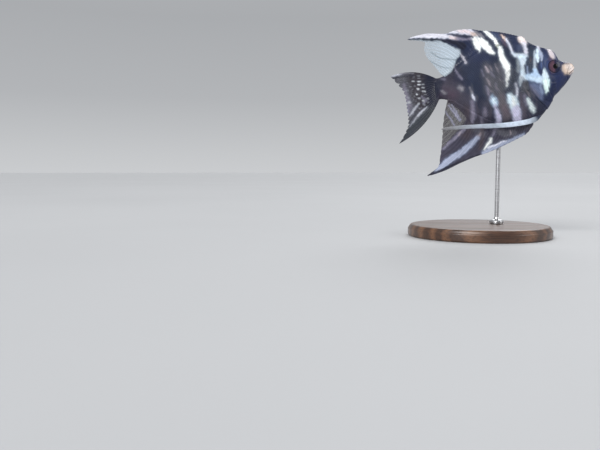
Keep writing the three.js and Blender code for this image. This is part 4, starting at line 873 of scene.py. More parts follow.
def lattice():
    xs = np.arange(-3.0, 76, 0.05)
    count = np.concatenate([[0], np.cumsum(0.05 / scale_length(xs[:-1]))])
    x_of = lambda u: np.interp(u, count, xs)
    points = []
    for row in range(-34, 35):
        u = np.arange(0, count[-1], 1.0) + (0.5 if row % 2 else 0.0)
        x = x_of(u)
        points.append(np.stack([x, row * 0.74 * scale_length(x), np.full(x.size, row)], -1))
    return np.concatenate(points)


def lateral_line(x):
    """Arc position of the lateral line: high over the chest, at mid height on the tail stalk."""
    return np.interp(x, [-3, 4, 12, 18, 30, 42, 52, 56], [0.2, 0.4, 0.8, 5.5, 10.8, 13.0, 12.4, 11.0])


def scale_front(z):
    """The station where the scales of the cheek and the nape give way to the bare face."""
    return np.interp(z, [-22, -17, -12, -7, -3, 1, 5, 9, 12, 16], [63.8, 65.6, 67.4, 67.6, 66.2, 64.4, 63.6, 64.0, 64.6, 64.4])


def scales_for(side, seed):
    rng = np.random.RandomState(seed)
    p = lattice()
    x, a = p[:, 0] + rng.uniform(-0.05, 0.05, len(p)), p[:, 1] + rng.uniform(-0.03, 0.03, len(p))
    top, low = np.interp(x, TABLE_X, ARC_TOP), np.interp(x, TABLE_X, ARC_LOW)
    y, z = on_skin(x, a)
    g = gill_distance(x, z)
    pre, pre_at = curve_distance(x, z, PREOPERCLE_CURVE)
    front = scale_front(z) + 0.7 * noise(x, z, 1.5, 43)
    body_part = ((g < -0.25) | ((z > 9.6) & (x < front))) & (x > -2.7)
    r_eye = np.hypot(x - EYE["x"], z - EYE["z"])
    cheek = (g > 0.75) & (r_eye > 5.0) & (x < front) & (np.abs(pre + 0.1) > 0.62) & (z > -14.5 - 0.35 * (x - 56)) & (z < 30) & (a > low + 0.9)
    keep = (body_part | cheek) & (a < top - 0.10) & (a > low + 0.10)
    sunk = np.where(g > 0, smooth(2.4, 0.0, front - x), 0)[keep][:, None]  # the foremost scales lie half buried in the skin
    x, a, top, low = x[keep], a[keep], top[keep], low[keep]
    n = x.size
    L = scale_length(x) * rng.uniform(0.97, 1.03, n)
    h = 0.74 * L
    # the rows turn to follow the back and belly lines near them
    slope_top = (np.interp(x + 0.8, TABLE_X, ARC_TOP) - np.interp(x - 0.8, TABLE_X, ARC_TOP)) / 1.6
    slope_low = (np.interp(x + 0.8, TABLE_X, ARC_LOW) - np.interp(x - 0.8, TABLE_X, ARC_LOW)) / 1.6
    near_top, near_low = smooth(0.45, 1.0, a / top), smooth(0.45, 1.0, a / low)
    turn = np.arctan(slope_top * near_top * 0.85 + slope_low * near_low * 0.85) + rng.uniform(-0.03, 0.03, n)
    nu, nv = 4, 7
    u, v = np.meshgrid(np.linspace(0, 1, nu), np.linspace(-1, 1, nv), indexing="ij")
    u, v = u.ravel(), v.ravel()
    # plan: a rounded shield, its rear edge an arc
    reach = 1 - 0.40 * np.abs(v) ** 2.3
    lu = (0.50 - 1.16 * u * reach) * 1.0  # + ahead of the centre, - behind
    lv = v * (0.80 + 0.24 * np.sin(np.pi * np.clip(u * 0.9 + 0.1, 0, 1)))
    ca, sa = np.cos(turn)[:, None], np.sin(turn)[:, None]
    du, dv = L[:, None] * lu, h[:, None] * 1.02 * lv
    X = x[:, None] + du * ca - dv * sa
    A = a[:, None] + du * sa + dv * ca
    Y, Z = on_skin(X, A)
    e = 0.25
    Yx, Zx = on_skin(X + e, A)
    Ya, Za = on_skin(X, A + e)
    tx = np.stack([np.full(X.shape, e), Yx - Y, Zx - Z], -1)
    ta = np.stack([np.zeros(X.shape), Ya - Y, Za - Z], -1)
    nrm = np.cross(ta, tx)
    nrm /= np.maximum(np.linalg.norm(nrm, axis=-1, keepdims=True), 1e-9)
    nrm = np.where((nrm * np.stack([np.zeros(X.shape), np.where(np.abs(Y) > 0.2, Y, 1.0), Z * 0.05], -1)).sum(-1, keepdims=True) < 0, -nrm, nrm)
    lifted, _ = relief(X, Z)
    size = (L / 1.26)[:, None]
    rise = (-0.07 + 0.235 * u ** 1.15) * size  # the rear edge stands over the next rows
    crown = -0.055 * np.abs(v) ** 2 * size + 0.02 * np.sin(np.pi * np.clip(u, 0, 1)) * size
    pored = np.abs(a - lateral_line(x)) < h * 0.62
    tube = np.where(pored & (x < 52), 1.0, 0.0)[:, None] * 0.085 * np.exp(-(v / 0.34) ** 2) * np.sin(np.pi * np.clip(u * 1.05, 0, 1)) ** 0.7
    ctenii = 0.012 * np.cos(v * 9.0) * (u > 0.9)
    top_h = np.clip((rise + crown) * (1 - 0.62 * sunk) - 0.03 * sunk + tube + ctenii + lifted, None, 0.265)
    thick = 0.055 * size + 0.0 * u
    base = np.stack([X, Y, Z], -1)
    upper = base + nrm * top_h[..., None]
    under = base + nrm * (top_h - thick - 0.10 * (1 - u) * size)[..., None]
    V = np.concatenate([upper, under], 1)  # n, 2*nu*nv, 3
    V[..., 1] = V[..., 1] * side + sweep(V[..., 0])
    m = nu * nv
    quads = [grid_faces(nu, nv), grid_faces(nu, nv, base=m, flip=True)]
    rim = [i * nv for i in range(nu)] + [(nu - 1) * nv + j for j in range(1, nv)] + [i * nv + nv - 1 for i in range(nu - 2, -1, -1)] + [j for j in range(nv - 2, 0, -1)]
    rim = np.array(rim)
    nxt = np.roll(rim, -1)
    quads.append(np.stack([rim, rim + m, nxt + m, nxt], -1))
    Q = np.concatenate(quads)
    one = V[n // 2]
    if volume(one, [Q]) < 0:
        Q = Q[:, ::-1]
    flat_one = np.concatenate([np.zeros(len(quads[0]), bool), np.zeros(len(quads[1]), bool), np.ones(len(quads[2]), bool)])
    # colour: mostly the pattern where the point lies, partly the scale's own
    yc, zc = on_skin(x, a)
    px = lerp(X, x[:, None], 0.35)
    pz = lerp(Z, zc[:, None], 0.35)
    own = 1 + 0.10 * rng.uniform(-1, 1, n)
    C = marking(px, pz, side).reshape(n, m, 3) * own[:, None, None]
    lum = C @ np.array([0.2126, 0.7152, 0.0722])
    # painted highlight: a faint cool glint along each scale's rear edge, only on the darker scales
    edge = np.clip((u - 0.72) / 0.28, 0, 1) * (1 - 0.3 * np.abs(v))
    glint = np.array([0.034, 0.040, 0.054])
    C = C + (edge * 0.38)[None, :, None] * glint * (1 - np.clip(lum * 2.5, 0, 1))[..., None]
    # painted shade: the front of each scale, which lies under the rear edge of the scale ahead, is darkened, and the
    # underside gets a darker, shaded copy of the colour
    C = C * (1 - 0.20 * (np.clip(1 - u * 2.2, 0, 1))[None, :, None])
    C = np.concatenate([C, C * 0.8], 1)
    # the bake map: each scale is a small patch at its root's place on the flank's own layout
    centre_u = 0.01 + 0.98 * (x + 4) / 84
    centre_v = (0.25 if side < 0 else 0.75) + a / 130
    uu = centre_u[:, None] + 0.003 * (0.5 - np.concatenate([u, u]))[None, :]
    vv = centre_v[:, None] + 0.0015 * np.concatenate([v, v])[None, :]
    return dict(V=V, Q=Q, flat=flat_one, C=C, UV=np.stack([uu, vv], -1), x=x, m2=2 * m)


for side, label, seed in ((-1, "right", 11), (1, "left", 12)):
    s = scales_for(side, seed)
    order = np.argsort(s["x"], kind="stable")
    per = int(190000 / (2 * len(s["Q"])))
    chunks = np.array_split(order, int(np.ceil(len(order) / per)))
    for k, c in enumerate(chunks):
        offset = (np.arange(len(c)) * s["m2"])[:, None, None]
        obj = piece(
            "scales_%s_%d" % (label, k + 1), world(s["V"][c].reshape(-1, 3)), [(s["Q"][None] + offset).reshape(-1, 4)], SCALE_MATERIAL, "body_skin",
            s["C"][c].reshape(-1, 3), flat=np.tile(s["flat"], len(c)), uv=s["UV"][c].reshape(-1, 2))


# ---------------------------------------------------------------- fins
def bowed(base, tip, bow, s):
    """A quadratic curve whose middle is pushed sideways by a share of its length. base, tip: (n, 2); bow: (n,); s: (n, m) or (m,)."""
    d = tip - base
    perp = np.stack([-d[:, 1], d[:, 0]], -1) * bow[:, None]
    c = (base + tip) / 2 + perp * 2
    s = np.broadcast_to(s, (len(base), s.shape[-1]))[..., None]
    return (1 - s) ** 2 * base[:, None] + 2 * s * (1 - s) * c[:, None] + s**2 * tip[:, None]


def ray_pattern(t, s, rays, spacing, branch_from, spines=0.0):
    """How much of a point is ray (1) and not membrane (0). t: (n,), s: (n, m); spacing: mm between rays there."""
    phase = (t * rays) % 1 - 0.5
    soft = (t > spines)[:, None]
    b = 0.23 * smooth(branch_from, 1.0, s) * soft
    b2 = 0.10 * smooth(branch_from + 0.28, 1.05, s) * soft
    p = np.abs(phase)[:, None]
    dist = np.minimum(np.abs(p - b - b2), np.abs(p - b + b2)) * spacing
    width = lerp(0.30, 0.13, s)
    return np.exp(-((dist / width) ** 2)), phase


def fin_grid(P2, half, middle):
    """Verts and faces of a closed slab over a grid of side-view points."""
    nu, nv = half.shape
    up = np.stack([P2[..., 0], middle + half, P2[..., 1]], -1).reshape(-1, 3)
    lo = np.stack([P2[..., 0], middle - half, P2[..., 1]], -1).reshape(-1, 3)
    m = nu * nv
    rim = [i * nv for i in range(nu)] + [(nu - 1) * nv + j for j in range(1, nv)] + [i * nv + nv - 1 for i in range(nu - 2, -1, -1)] + [j for j in range(nv - 2, 0, -1)]
    rim = np.array(rim)
    nxt = np.roll(rim, -1)
    quads = [grid_faces(nu, nv), grid_faces(nu, nv, base=m, flip=True), np.stack([rim, rim + m, nxt + m, nxt], -1)]
    verts = np.concatenate([up, lo])
    q = np.concatenate(quads)
    if volume(verts, [q]) < 0:
        q = q[:, ::-1]
    return verts, q


def unpaired_surface(spec, rays, spine_share, seed):
    """surface(t, S): the side-view points, half thickness and middle plane of a fin, t along its base and S along its rays."""
    side = spec["side"]

    def place(t, S):
        t = np.clip(t, 0, 1)
        tips = track(spec["tips"])(t)
        bx = lerp(spec["front"], spec["rear"], t)
        bz = ridge(bx, side)
        bz = bz + (1 if side else -1) * spec["sink"] * np.minimum(1, np.abs(bz) / 8)
        base = np.stack([bx, bz], -1)
        return bowed(base, tips, spec["bow"] * np.minimum(1, t * 5), S), np.hypot(*(tips - base).T)

    def surface(t, S):
        P, long_ray = place(t, S)
        e = 0.25 / rays
        space = np.linalg.norm(place(t + e, S)[0] - place(t - e, S)[0], axis=-1) / (np.clip(t + e, 0, 1) - np.clip(t - e, 0, 1))[:, None] / rays
        ray, _ = ray_pattern(t, S, rays, space, 0.45, spine_share)
        soft_ray = smooth(spine_share - 0.02, spine_share + 0.03, t)
        above = np.maximum(0, S * long_ray[:, None] - spec["sink"] * 0.95)
        thick_ray = lerp(lerp(0.42, 0.12, np.clip(S, 0, 1) ** 0.7), lerp(0.30, 0.10, np.clip(S, 0, 1) ** 0.6), soft_ray[:, None])
        membrane = lerp(0.13, 0.045, S)
        seg = 1 - 0.10 * soft_ray[:, None] * (np.sin(above * 7.5) > 0.75) * smooth(0.2, 0.4, S)
        half = membrane + (thick_ray * seg - membrane) * ray
        half = half + 0.75 * np.exp(-above / 1.15) + 0.12 * np.exp(-above / 5.0)
        half = half * lerp(0.55, 1.0, np.minimum(1, np.minimum(t, 1 - t) * rays * 1.6)[:, None])
        half = np.minimum(half, 1.25)
        middle = sweep(P[..., 0]) + 0.45 * S**2 * np.sin(t * 9.5 + 0.6)[:, None] + 0.05 * noise(P[..., 0], P[..., 1], 3.0, seed + 1) * S
        return P, half, middle, ray, long_ray, space

    return surface


def unpaired(name, spec, node, rays, spine_share, seed):
    side = spec["side"]
    cpr, rows = 8, 84
    surface = unpaired_surface(spec, rays, spine_share, seed)
    t = np.arange(rays * cpr + 1) / (rays * cpr)
    s = np.linspace(0, 0.997, rows) ** 0.9
    long_ray = surface(t, np.ones((t.size, 1)))[4]
    phase0 = (t * rays) % 1 - 0.5
    soft_ray = smooth(spine_share - 0.02, spine_share + 0.03, t)
    wobble = noise(t * 40, t * 0, 1.0, seed) * 0.5 + 0.5
    notch_mm = lerp(0.45, 0.12 + 0.5 * wobble ** 2, soft_ray) * smooth(1.5, 6, long_ray)
    cut = (2 * np.abs(phase0)) ** 2.2 * notch_mm / long_ray
    S = s[None, :] - (cut[:, None] * s[None, :] ** 6)
    P, half, middle, ray, _, _ = surface(t, S)
    half[:, -1] *= 0.45
    verts, q = fin_grid(P, half, middle)
    X, Z = P[..., 0], P[..., 1]
    C = marking(X, Z, -1).reshape(*X.shape, 3)
    opacity = np.ones(X.shape)
    if side == 0:
        clear = smooth(0.7, -0.7, polygon_distance(X, Z, CLEAR_WINDOW) + 0.5 * noise(X, Z, 1.6, 31))
        clear = clear * smooth(spine_share, spine_share + 0.05, t)[:, None]
        fold = np.zeros(X.shape)
        for points in CLEAR_FOLDS:
            fold = np.maximum(fold, smooth(0.35, -0.2, stroke_distance(X, Z, points)))
        glass = COLOUR["clear"] * ((1 - 0.22 * ray) * lerp(0.90, 1.12, smooth(-6, 8, X)))[..., None]
        glass = mix(glass, COLOUR["fold"], fold * 0.7)
        C = mix(C, glass, clear)
        opacity = lerp(1.0, np.clip(0.18 + 0.28 * smooth(-9, 8, X) + 0.28 * ray + 0.4 * fold, 0, 1), clear)
    else:
        clear = smooth(1.2, -1.2, polygon_distance(X, Z, ANAL_WINDOW) + 0.6 * noise(X, Z, 1.8, 33)) * smooth(0.55, 0.62, t)[:, None]
        lum = (C @ np.array([0.2126, 0.7152, 0.0722]))
        C = mix(C, COLOUR["analclear"], clear * (1 - ray * 0.5) * 0.75 * smooth(0.14, 0.09, lum))
        opacity = lerp(1.0, 0.58 + 0.40 * ray, clear)
    # rays stand out a little from the membrane between them
    C = C * (0.86 + 0.30 * ray * smooth(0.1, 0.3, S))[..., None]
    C = C + 0.012 * (ray * smooth(0.15, 0.35, S))[..., None]
    obj = piece(name, world(verts), [q], FIN_MATERIAL, "fin", np.concatenate([C.reshape(-1, 3)] * 2), np.concatenate([opacity.ravel()] * 2))
    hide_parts(node)


CLEAR_FOLDS = [[(-2.6, 21.8, 0.2), (2.2, 17.6, 0.25), (11.5, 15.1, 0.25)], [(-4.5, 17.5, 0.15), (2.0, 12.5, 0.2), (8.5, 10.5, 0.2)]]
unpaired("fin_dorsal", DORSAL, "dorsal_fin", 38, 0.44, 21)
unpaired("fin_anal", ANAL, "anal_fin", 34, 0.24, 22)


def sheath(name, surface, reach, sink, arc_of, seed):
    """Small scales that run from the body out over the base of a fin. reach: [(t, mm)] out to where; arc_of(t, d): place on the bake map."""
    rng = np.random.RandomState(seed)
    fine_t = np.linspace(0.004, 0.996, 700)
    rt, rd = zip(*reach)
    spots = []
    d, k = -0.9, 0
    while d < max(rd):
        size = lerp(0.86, 0.46, np.clip(d / 5.0, 0, 1))
        long_ray = surface(fine_t, np.zeros((fine_t.size, 1)))[4]
        S = ((d + sink) / long_ray)[:, None]
        line = surface(fine_t, S)[0][:, 0]
        run = np.concatenate([[0], np.cumsum(np.hypot(*np.diff(line, axis=0).T))])
        at = np.arange(0.3 + (0.74 * size if k % 2 else 0.0), run[-1] - 0.3, 1.48 * size)
        tt = np.interp(at, run, fine_t)
        limit = np.interp(tt, rt, rd) * (1 + 0.22 * noise(at, at * 0 + k * 0.3, 1.6, seed))
        tt = tt[(d < limit) & (d < np.interp(tt, fine_t, long_ray) * 0.6 - sink)]
        spots.append(np.stack([tt, np.full(tt.size, d), np.full(tt.size, size)], -1))
        d += 0.5 * size
        k += 1
    t0, d0, size = np.concatenate(spots).T
    n = t0.size
    size = size * rng.uniform(0.94, 1.06, n)
    nu, nv = 3, 5
    u, v = np.meshgrid(np.linspace(0, 1, nu), np.linspace(-1, 1, nv), indexing="ij")
    u, v = u.ravel(), v.ravel()
    m = nu * nv
    lu = -0.50 + 1.10 * u * (1 - 0.38 * np.abs(v) ** 2.3)
    lv = v * (0.80 + 0.24 * np.sin(np.pi * np.clip(u * 0.9 + 0.1, 0, 1))) * 0.755
    _, _, _, _, long0, space = surface(t0, ((d0 + sink) / surface(t0, np.zeros((n, 1)))[4])[:, None])
    tv = t0[:, None] + size[:, None] * lv / (space * surface.rays)
    dv = d0[:, None] + size[:, None] * lu
    tf = np.clip(tv, 0.001, 0.999).ravel()
    longf = surface(tf, np.zeros((tf.size, 1)))[4]
    P, half, middle = surface(tf, ((dv.ravel() + sink) / longf)[:, None])[:3]
    P, half, middle = P[:, 0].reshape(n, m, 2), half[:, 0].reshape(n, m), middle[:, 0].reshape(n, m)
    relative = (size / 1.26)[:, None]
    top_h = (-0.05 + 0.215 * u ** 1.1 - 0.05 * np.abs(v) ** 2) * relative
    rim = [i * nv for i in range(nu)] + [(nu - 1) * nv + j for j in range(1, nv)] + [i * nv + nv - 1 for i in range(nu - 2, -1, -1)] + [j for j in range(nv - 2, 0, -1)]
    rim = np.array(rim)
    nxt = np.roll(rim, -1)
    quads = [grid_faces(nu, nv), grid_faces(nu, nv, base=m, flip=True), np.stack([rim, rim + m, nxt + m, nxt], -1)]
    Q0 = np.concatenate(quads)
    flat_one = np.concatenate([np.zeros(len(quads[0]) + len(quads[1]), bool), np.ones(len(quads[2]), bool)])
    all_v, all_q, all_c, all_uv, all_flat = [], [], [], [], []
    base = 0
    for side in (-1, 1):
        upper = np.stack([P[..., 0], middle + side * (half + top_h), P[..., 1]], -1)
        under = np.stack([P[..., 0], middle + side * (half + top_h - 0.06 * relative - 0.10 * (1 - u) * relative), P[..., 1]], -1)
        V = np.concatenate([upper, under], 1)
        Q = Q0 if volume(V[n // 2], [Q0]) > 0 else Q0[:, ::-1]
        root = P[:, m // 2 - nv]
        C = marking(lerp(P[..., 0], root[:, None, 0], 0.35), lerp(P[..., 1], root[:, None, 1], 0.35), side).reshape(n, m, 3)
        # each scale gets its own random tone; painted shade darkens its front, under the scale ahead, and the underside
        # gets a darker, shaded copy
        C = C * (1 + 0.10 * rng.uniform(-1, 1, n))[:, None, None] * (1 - 0.20 * np.clip(1 - u * 2.2, 0, 1))[None, :, None]
        C = np.concatenate([C, C * 0.8], 1)
        gone = arc_of(t0, d0)
        uu = (0.01 + 0.98 * (root[:, 0] + 4) / 84)[:, None] + 0.003 * (np.concatenate([u, u]) - 0.5)[None, :] * 0.5
        vv = np.clip((0.25 if side < 0 else 0.75) + gone / 130, 0.004, 0.996)[:, None] + 0.0015 * np.concatenate([v, v])[None, :]
        all_v.append(V.reshape(-1, 3))
        all_q.append((Q[None] + (base + np.arange(n) * 2 * m)[:, None, None]).reshape(-1, 4))
        all_c.append(C.reshape(-1, 3))
        all_uv.append(np.stack([uu, vv], -1).reshape(-1, 2))
        all_flat.append(np.tile(flat_one, n))
        base += n * 2 * m
    piece(name, world(np.concatenate(all_v)), [np.concatenate(all_q)], SCALE_MATERIAL, "body_skin", np.concatenate(all_c), flat=np.concatenate(all_flat), uv=np.concatenate(all_uv))
    return n * 2


SHEATHS = []
for name, spec, rays, share, seed, reach in (
    ("scales_dorsal_base", DORSAL, 38, 0.44, 21, [(0, 0.9), (0.10, 1.7), (0.35, 3.0), (0.50, 4.2), (0.60, 2.6), (0.68, 0.9), (0.715, -0.2), (0.74, -1.5), (1.0, -1.5)]),
    ("scales_anal_base", ANAL, 34, 0.24, 22, [(0, 0.9), (0.10, 1.8), (0.30, 4.2), (0.50, 6.0), (0.68, 4.6), (0.82, 1.8), (1.0, 0.8)]),
):
    s_ = unpaired_surface(spec, rays, share, seed)
    s_.rays = rays
    up = 1 if spec["side"] == 0 else -1
    edge_arc = ARC_TOP if spec["side"] == 0 else ARC_LOW
    SHEATHS.append(sheath(name, s_, reach, spec["sink"], lambda t, d: np.interp(lerp(spec["front"], spec["rear"], t), TABLE_X, edge_arc) + up * np.maximum(d, 0), seed + 100))

# the tail fin: a fan of branched rays, dark at the root, spotted between the rays, thin and pale at the margin
RAYS, CPR, ROWS = 17, 14, 100
t = np.arange(RAYS * CPR + 1) / (RAYS * CPR)
s = np.linspace(0, 0.998, ROWS)
row = track(CAUDAL["tips"])(t)
base = np.stack([np.full(t.size, CAUDAL["root_x"]), lerp(CAUDAL["root_top"], CAUDAL["root_bottom"], t)], -1)
length = np.hypot(*(row[:, :2] - base).T)
phase0 = (t * RAYS) % 1 - 0.5
ragged = (noise(t * 60, t * 0 + 2, 1.0, 51) * 0.5 + 0.5) * 1.2 + 0.3
ragged *= smooth(0, 0.1, t) * smooth(1, 0.9, t)
S = s[None, :] - ((2 * np.abs(phase0)) ** 2 * ragged / length)[:, None] * s[None, :] ** 7
P = bowed(base, row[:, :2], -row[:, 2], S)
space = np.linalg.norm(np.gradient(P, axis=0), axis=-1) * CPR
ray, phase = ray_pattern(t, S, RAYS, space, 0.30)
reach = S * length[:, None]
membrane = lerp(0.12, 0.04, S)
half = membrane + (lerp(0.30, 0.09, S ** 0.6) - membrane) * ray
half = half + 0.55 * np.exp(-reach / 1.8)
half *= lerp(0.6, 1.0, np.minimum(1, np.minimum(t, 1 - t) * RAYS * 1.4))[:, None]
half[:, -1] *= 0.45
middle = sweep(P[..., 0]) + 0.5 * S**2 * np.sin(t * 0.8 * 9.5 + 0.6)[:, None]
verts, q = fin_grid(P, half, middle)
X, Z = P[..., 0], P[..., 1]
wob = 1.0 * noise(X, Z, 2.6, 52) + 0.4 * noise(X, Z, 0.9, 54)
dark_root = smooth(10.5, 5.0, reach + wob - 1.6 * smooth(0.5, 0.9, t)[:, None])
outer = smooth(13.0, 20.0, reach + wob - 1.0 * smooth(0.35, 0.1, t)[:, None])
C = np.tile(COLOUR["caudal"], (*X.shape, 1)) * (1 + 0.34 * noise(X, Z, 1.1, 53))[..., None]
C = mix(C, COLOUR["caudalnavy"], dark_root)
C = mix(C, COLOUR["caudaledge"] * 0.8, outer * 0.55 * (1 - 0.35 * smooth(0.12, 0.0, t))[:, None])
C = mix(C, COLOUR["caudaledge"], smooth(-2.6, -0.3, reach - length[:, None] + 0.5 * wob) * smooth(0.12, 0.25, t)[:, None] * smooth(0.72, 0.55, t)[:, None] * 0.55)
C = mix(C, COLOUR["caudalgreen"], smooth(0.72, 0.86, t)[:, None] * smooth(3, 8, reach) * 0.8)
C = mix(C, COLOUR["black"], smooth(0.975, 0.995, t)[:, None] * 0.7)
C = C * (0.84 + 0.34 * ray * smooth(4, 9, reach))[..., None]
opacity = lerp(1.0, lerp(0.74 + 0.26 * ray, 0.93 + 0.07 * ray, smooth(0.60, 0.74, t)[:, None]), outer)
# faint flecks between the rays, under the pale spots and streaks of the marking
gap = np.floor(t * RAYS + 0.5)[:, None]
beside = np.abs(((t * RAYS + 0.5) % 1) - 0.5)[:, None] * space
shift = (np.sin(gap * 12.9898) * 43758.5453) % 1
near = ((reach - 8.4 + 1.5 * (gap % 2) + 1.3 * shift + 0.35 * noise(X, Z, 1.7, 55)) % lerp(2.5, 3.1, shift)) - lerp(1.25, 1.55, shift)
flecks = smooth(1.15, 0.20, np.hypot(beside / lerp(0.50, 0.70, shift), near / lerp(0.62, 0.95, (shift * 7.3) % 1)))
where_flecks = smooth(8.0, 11.0, reach + wob) * smooth(0.03, 0.08, t)[:, None] * smooth(0.86, 0.72, t)[:, None]
C = mix(C, COLOUR["caudaledge"], flecks * where_flecks * (0.34 + 0.30 * noise(X, Z, 1.5, 56)))
pattern = marking(X, Z, -1).reshape(*X.shape, 3)
streak = np.zeros(X.shape)
for name, strength, soft, points in MARKS:
    if max(p[0] for p in points) < -5 and points[0][1] < 16:
        streak = np.maximum(streak, smooth(soft * 0.75, -soft * 0.75, stroke_distance(X, Z, points)) * strength)
C = mix(C, pattern, streak)
opacity = np.maximum(opacity, streak)
body_join = smooth(2.6, 0.4, reach)
C = mix(C, pattern, body_join)
obj = piece("fin_caudal", world(verts), [q], FIN_MATERIAL, "fin", np.concatenate([C.reshape(-1, 3)] * 2), np.concatenate([opacity.ravel()] * 2))
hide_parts("caudal_fin")


def pectoral(side, label):
    rays, cpr, rows = 13, 8, 46
    t = np.arange(rays * cpr + 1) / (rays * cpr)
    s = np.linspace(0, 1, rows)
    tip = track(PECTORAL["tips"])(t)
    base = np.stack([np.full(t.size, PECTORAL["root_x"]), lerp(PECTORAL["root_top"], PECTORAL["root_bottom"], t)], -1)
    length = np.hypot(*(tip - base).T)
    S = s[None, :] - ((2 * np.abs((t * rays) % 1 - 0.5)) ** 2 * 0.35 / length)[:, None] * s[None, :] ** 6
    P = bowed(base, tip, np.zeros(t.size), S)
    space = np.linalg.norm(np.gradient(P, axis=0), axis=-1) * cpr
    ray, _ = ray_pattern(t, S, rays, space, 0.5)
    membrane = lerp(0.10, 0.04, S)
    half = membrane + (lerp(0.22, 0.07, S ** 0.7) - membrane) * ray + 0.32 * np.exp(-S * length[:, None] / 1.1)
    half[:, -1] *= 0.5
    root = float(flank(np.array(PECTORAL["root_x"]), np.array((PECTORAL["root_top"] + PECTORAL["root_bottom"]) / 2)))
    out = root + 0.15 + math.tan(PECTORAL["spread"]) * (PECTORAL["root_x"] - P[..., 0]) * (1 - 0.25 * S)
    verts, q = fin_grid(P, half, side * out)
    C = mix(np.tile(COLOUR["clear"] * 0.5, (*ray.shape, 1)), COLOUR["olive"], 0.60 + 0.25 * ray)
    C = mix(C, COLOUR["flank"], 0.8 * np.exp(-S * length[:, None] / 1.2))
    opacity = np.clip(0.05 + 0.17 * ray + np.exp(-S * length[:, None] / 1.0), 0, 1)
    obj = piece("fin_pectoral_" + label, world(verts), [q], CLEAR_FIN_MATERIAL, "fin", np.concatenate([C.reshape(-1, 3)] * 2), np.concatenate([opacity.ravel()] * 2))
    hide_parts("pectoral_fin_" + label)


def pelvic(side, label):
    rows = PELVIC[side]
    p = np.array(rows, float)
    run = np.concatenate([[0], np.cumsum(np.linalg.norm(np.diff(p[:, :3], axis=0), axis=1))])
    line = track(np.column_stack([run, p]))
    steps, around = 220, 28
    u = np.linspace(0, run[-1], steps)
    c = line(u)
    d = line(np.minimum(u + 0.4, run[-1])) - line(np.maximum(u - 0.4, 0))
    dn = np.hypot(d[:, 0], d[:, 2])
    nx, nz = -d[:, 2] / dn, d[:, 0] / dn
    a = 2 * np.pi * np.arange(around) / around
    share = u / run[-1]
    grooves = 1 - 0.30 * np.cos(a[None, :] * 2 + np.pi) * 0 - 0.22 * (0.5 + 0.5 * np.cos(np.cos(a)[None, :] * 9.5)) * smooth(0.03, 0.15, share)[:, None]
    frill = 1 + 0.05 * noise(u * 1.0, u * 0, 1.7, 61 + side)[:, None] * smooth(0.1, 0.3, share)[:, None]
    taper = np.sqrt(np.clip((1 - share) * 22, 0, 1))
    hh = (c[:, 3] * 0.97 * np.interp(share, [0, 0.7, 0.86, 1], [1, 1, 1.3, 1.9]) * taper)[:, None] * frill
    ht = (c[:, 4] * 0.92 * taper)[:, None]
    ca, sa = np.cos(a)[None, :], np.sin(a)[None, :]
    X = c[:, :1] + nx[:, None] * hh * ca
    Z = c[:, 2:3] + nz[:, None] * hh * ca
    Y = side * c[:, 1:2] + ht * np.sign(sa) * np.abs(sa) ** 0.8 * grooves
    Z = Z + np.interp(share, [0, 0.06, 0.12, 0.22, 0.36, 0.6, 0.8, 1], [0, -0.30, -0.42, -0.12, 0.16, 0.48, 0.42, 0.1])[:, None]
    verts = np.stack([X, Y, Z], -1).reshape(-1, 3)
    ends = np.array([[c[0, 0], side * c[0, 1], c[0, 2]], [c[-1, 0], side * c[-1, 1], c[-1, 2]]])
    k = np.arange(around)
    caps = np.concatenate([
        np.stack([np.full(around, steps * around), (k + 1) % around, k], -1),
        np.stack([np.full(around, steps * around + 1), (steps - 1) * around + k, (steps - 1) * around + (k + 1) % around], -1)])
    verts = np.concatenate([verts, ends])
    faces = facing_out(verts, [grid_faces(steps, around, wrap=True), caps])
    if volume(verts, [faces[0]]) * volume(verts, [faces[1]]) < 0:
        faces[1] = faces[1][:, ::-1]
    C = mix(np.tile(COLOUR["pelvic"], (*X.shape, 1)), COLOUR["pelvictip"], smooth(0.45, 1.0, share)[:, None])
    C = C * (0.92 + 0.12 * noise(np.broadcast_to(u[:, None], X.shape), np.broadcast_to(np.cos(a)[None, :] * 2, X.shape), 1.2, 63))[..., None]
    C = C * np.interp(share, [0, 0.07, 0.12, 0.18, 0.34, 0.42, 0.5, 0.58, 0.66, 1], [0.6, 0.62, 1.0, 1.36, 1.42, 1.14, 0.82, 0.96, 1.08, 1.0])[:, None, None]
    C = C * (1 - 0.06 * smooth(-0.55, -0.95, ca * np.ones_like(X)))[..., None]
    C = mix(C, COLOUR["flank"], smooth(0.075, 0.03, share)[:, None])
    C = np.concatenate([C.reshape(-1, 3), C[0, :1], C[-1, :1]])
    obj = piece("fin_pelvic_" + label, world(verts), faces, FIN_MATERIAL, "fin", C, np.ones(len(C)))
    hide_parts("pelvic_fin_" + label)


for side, label in ((-1, "right"), (1, "left")):
    pectoral(side, label)
    pelvic(side, label)


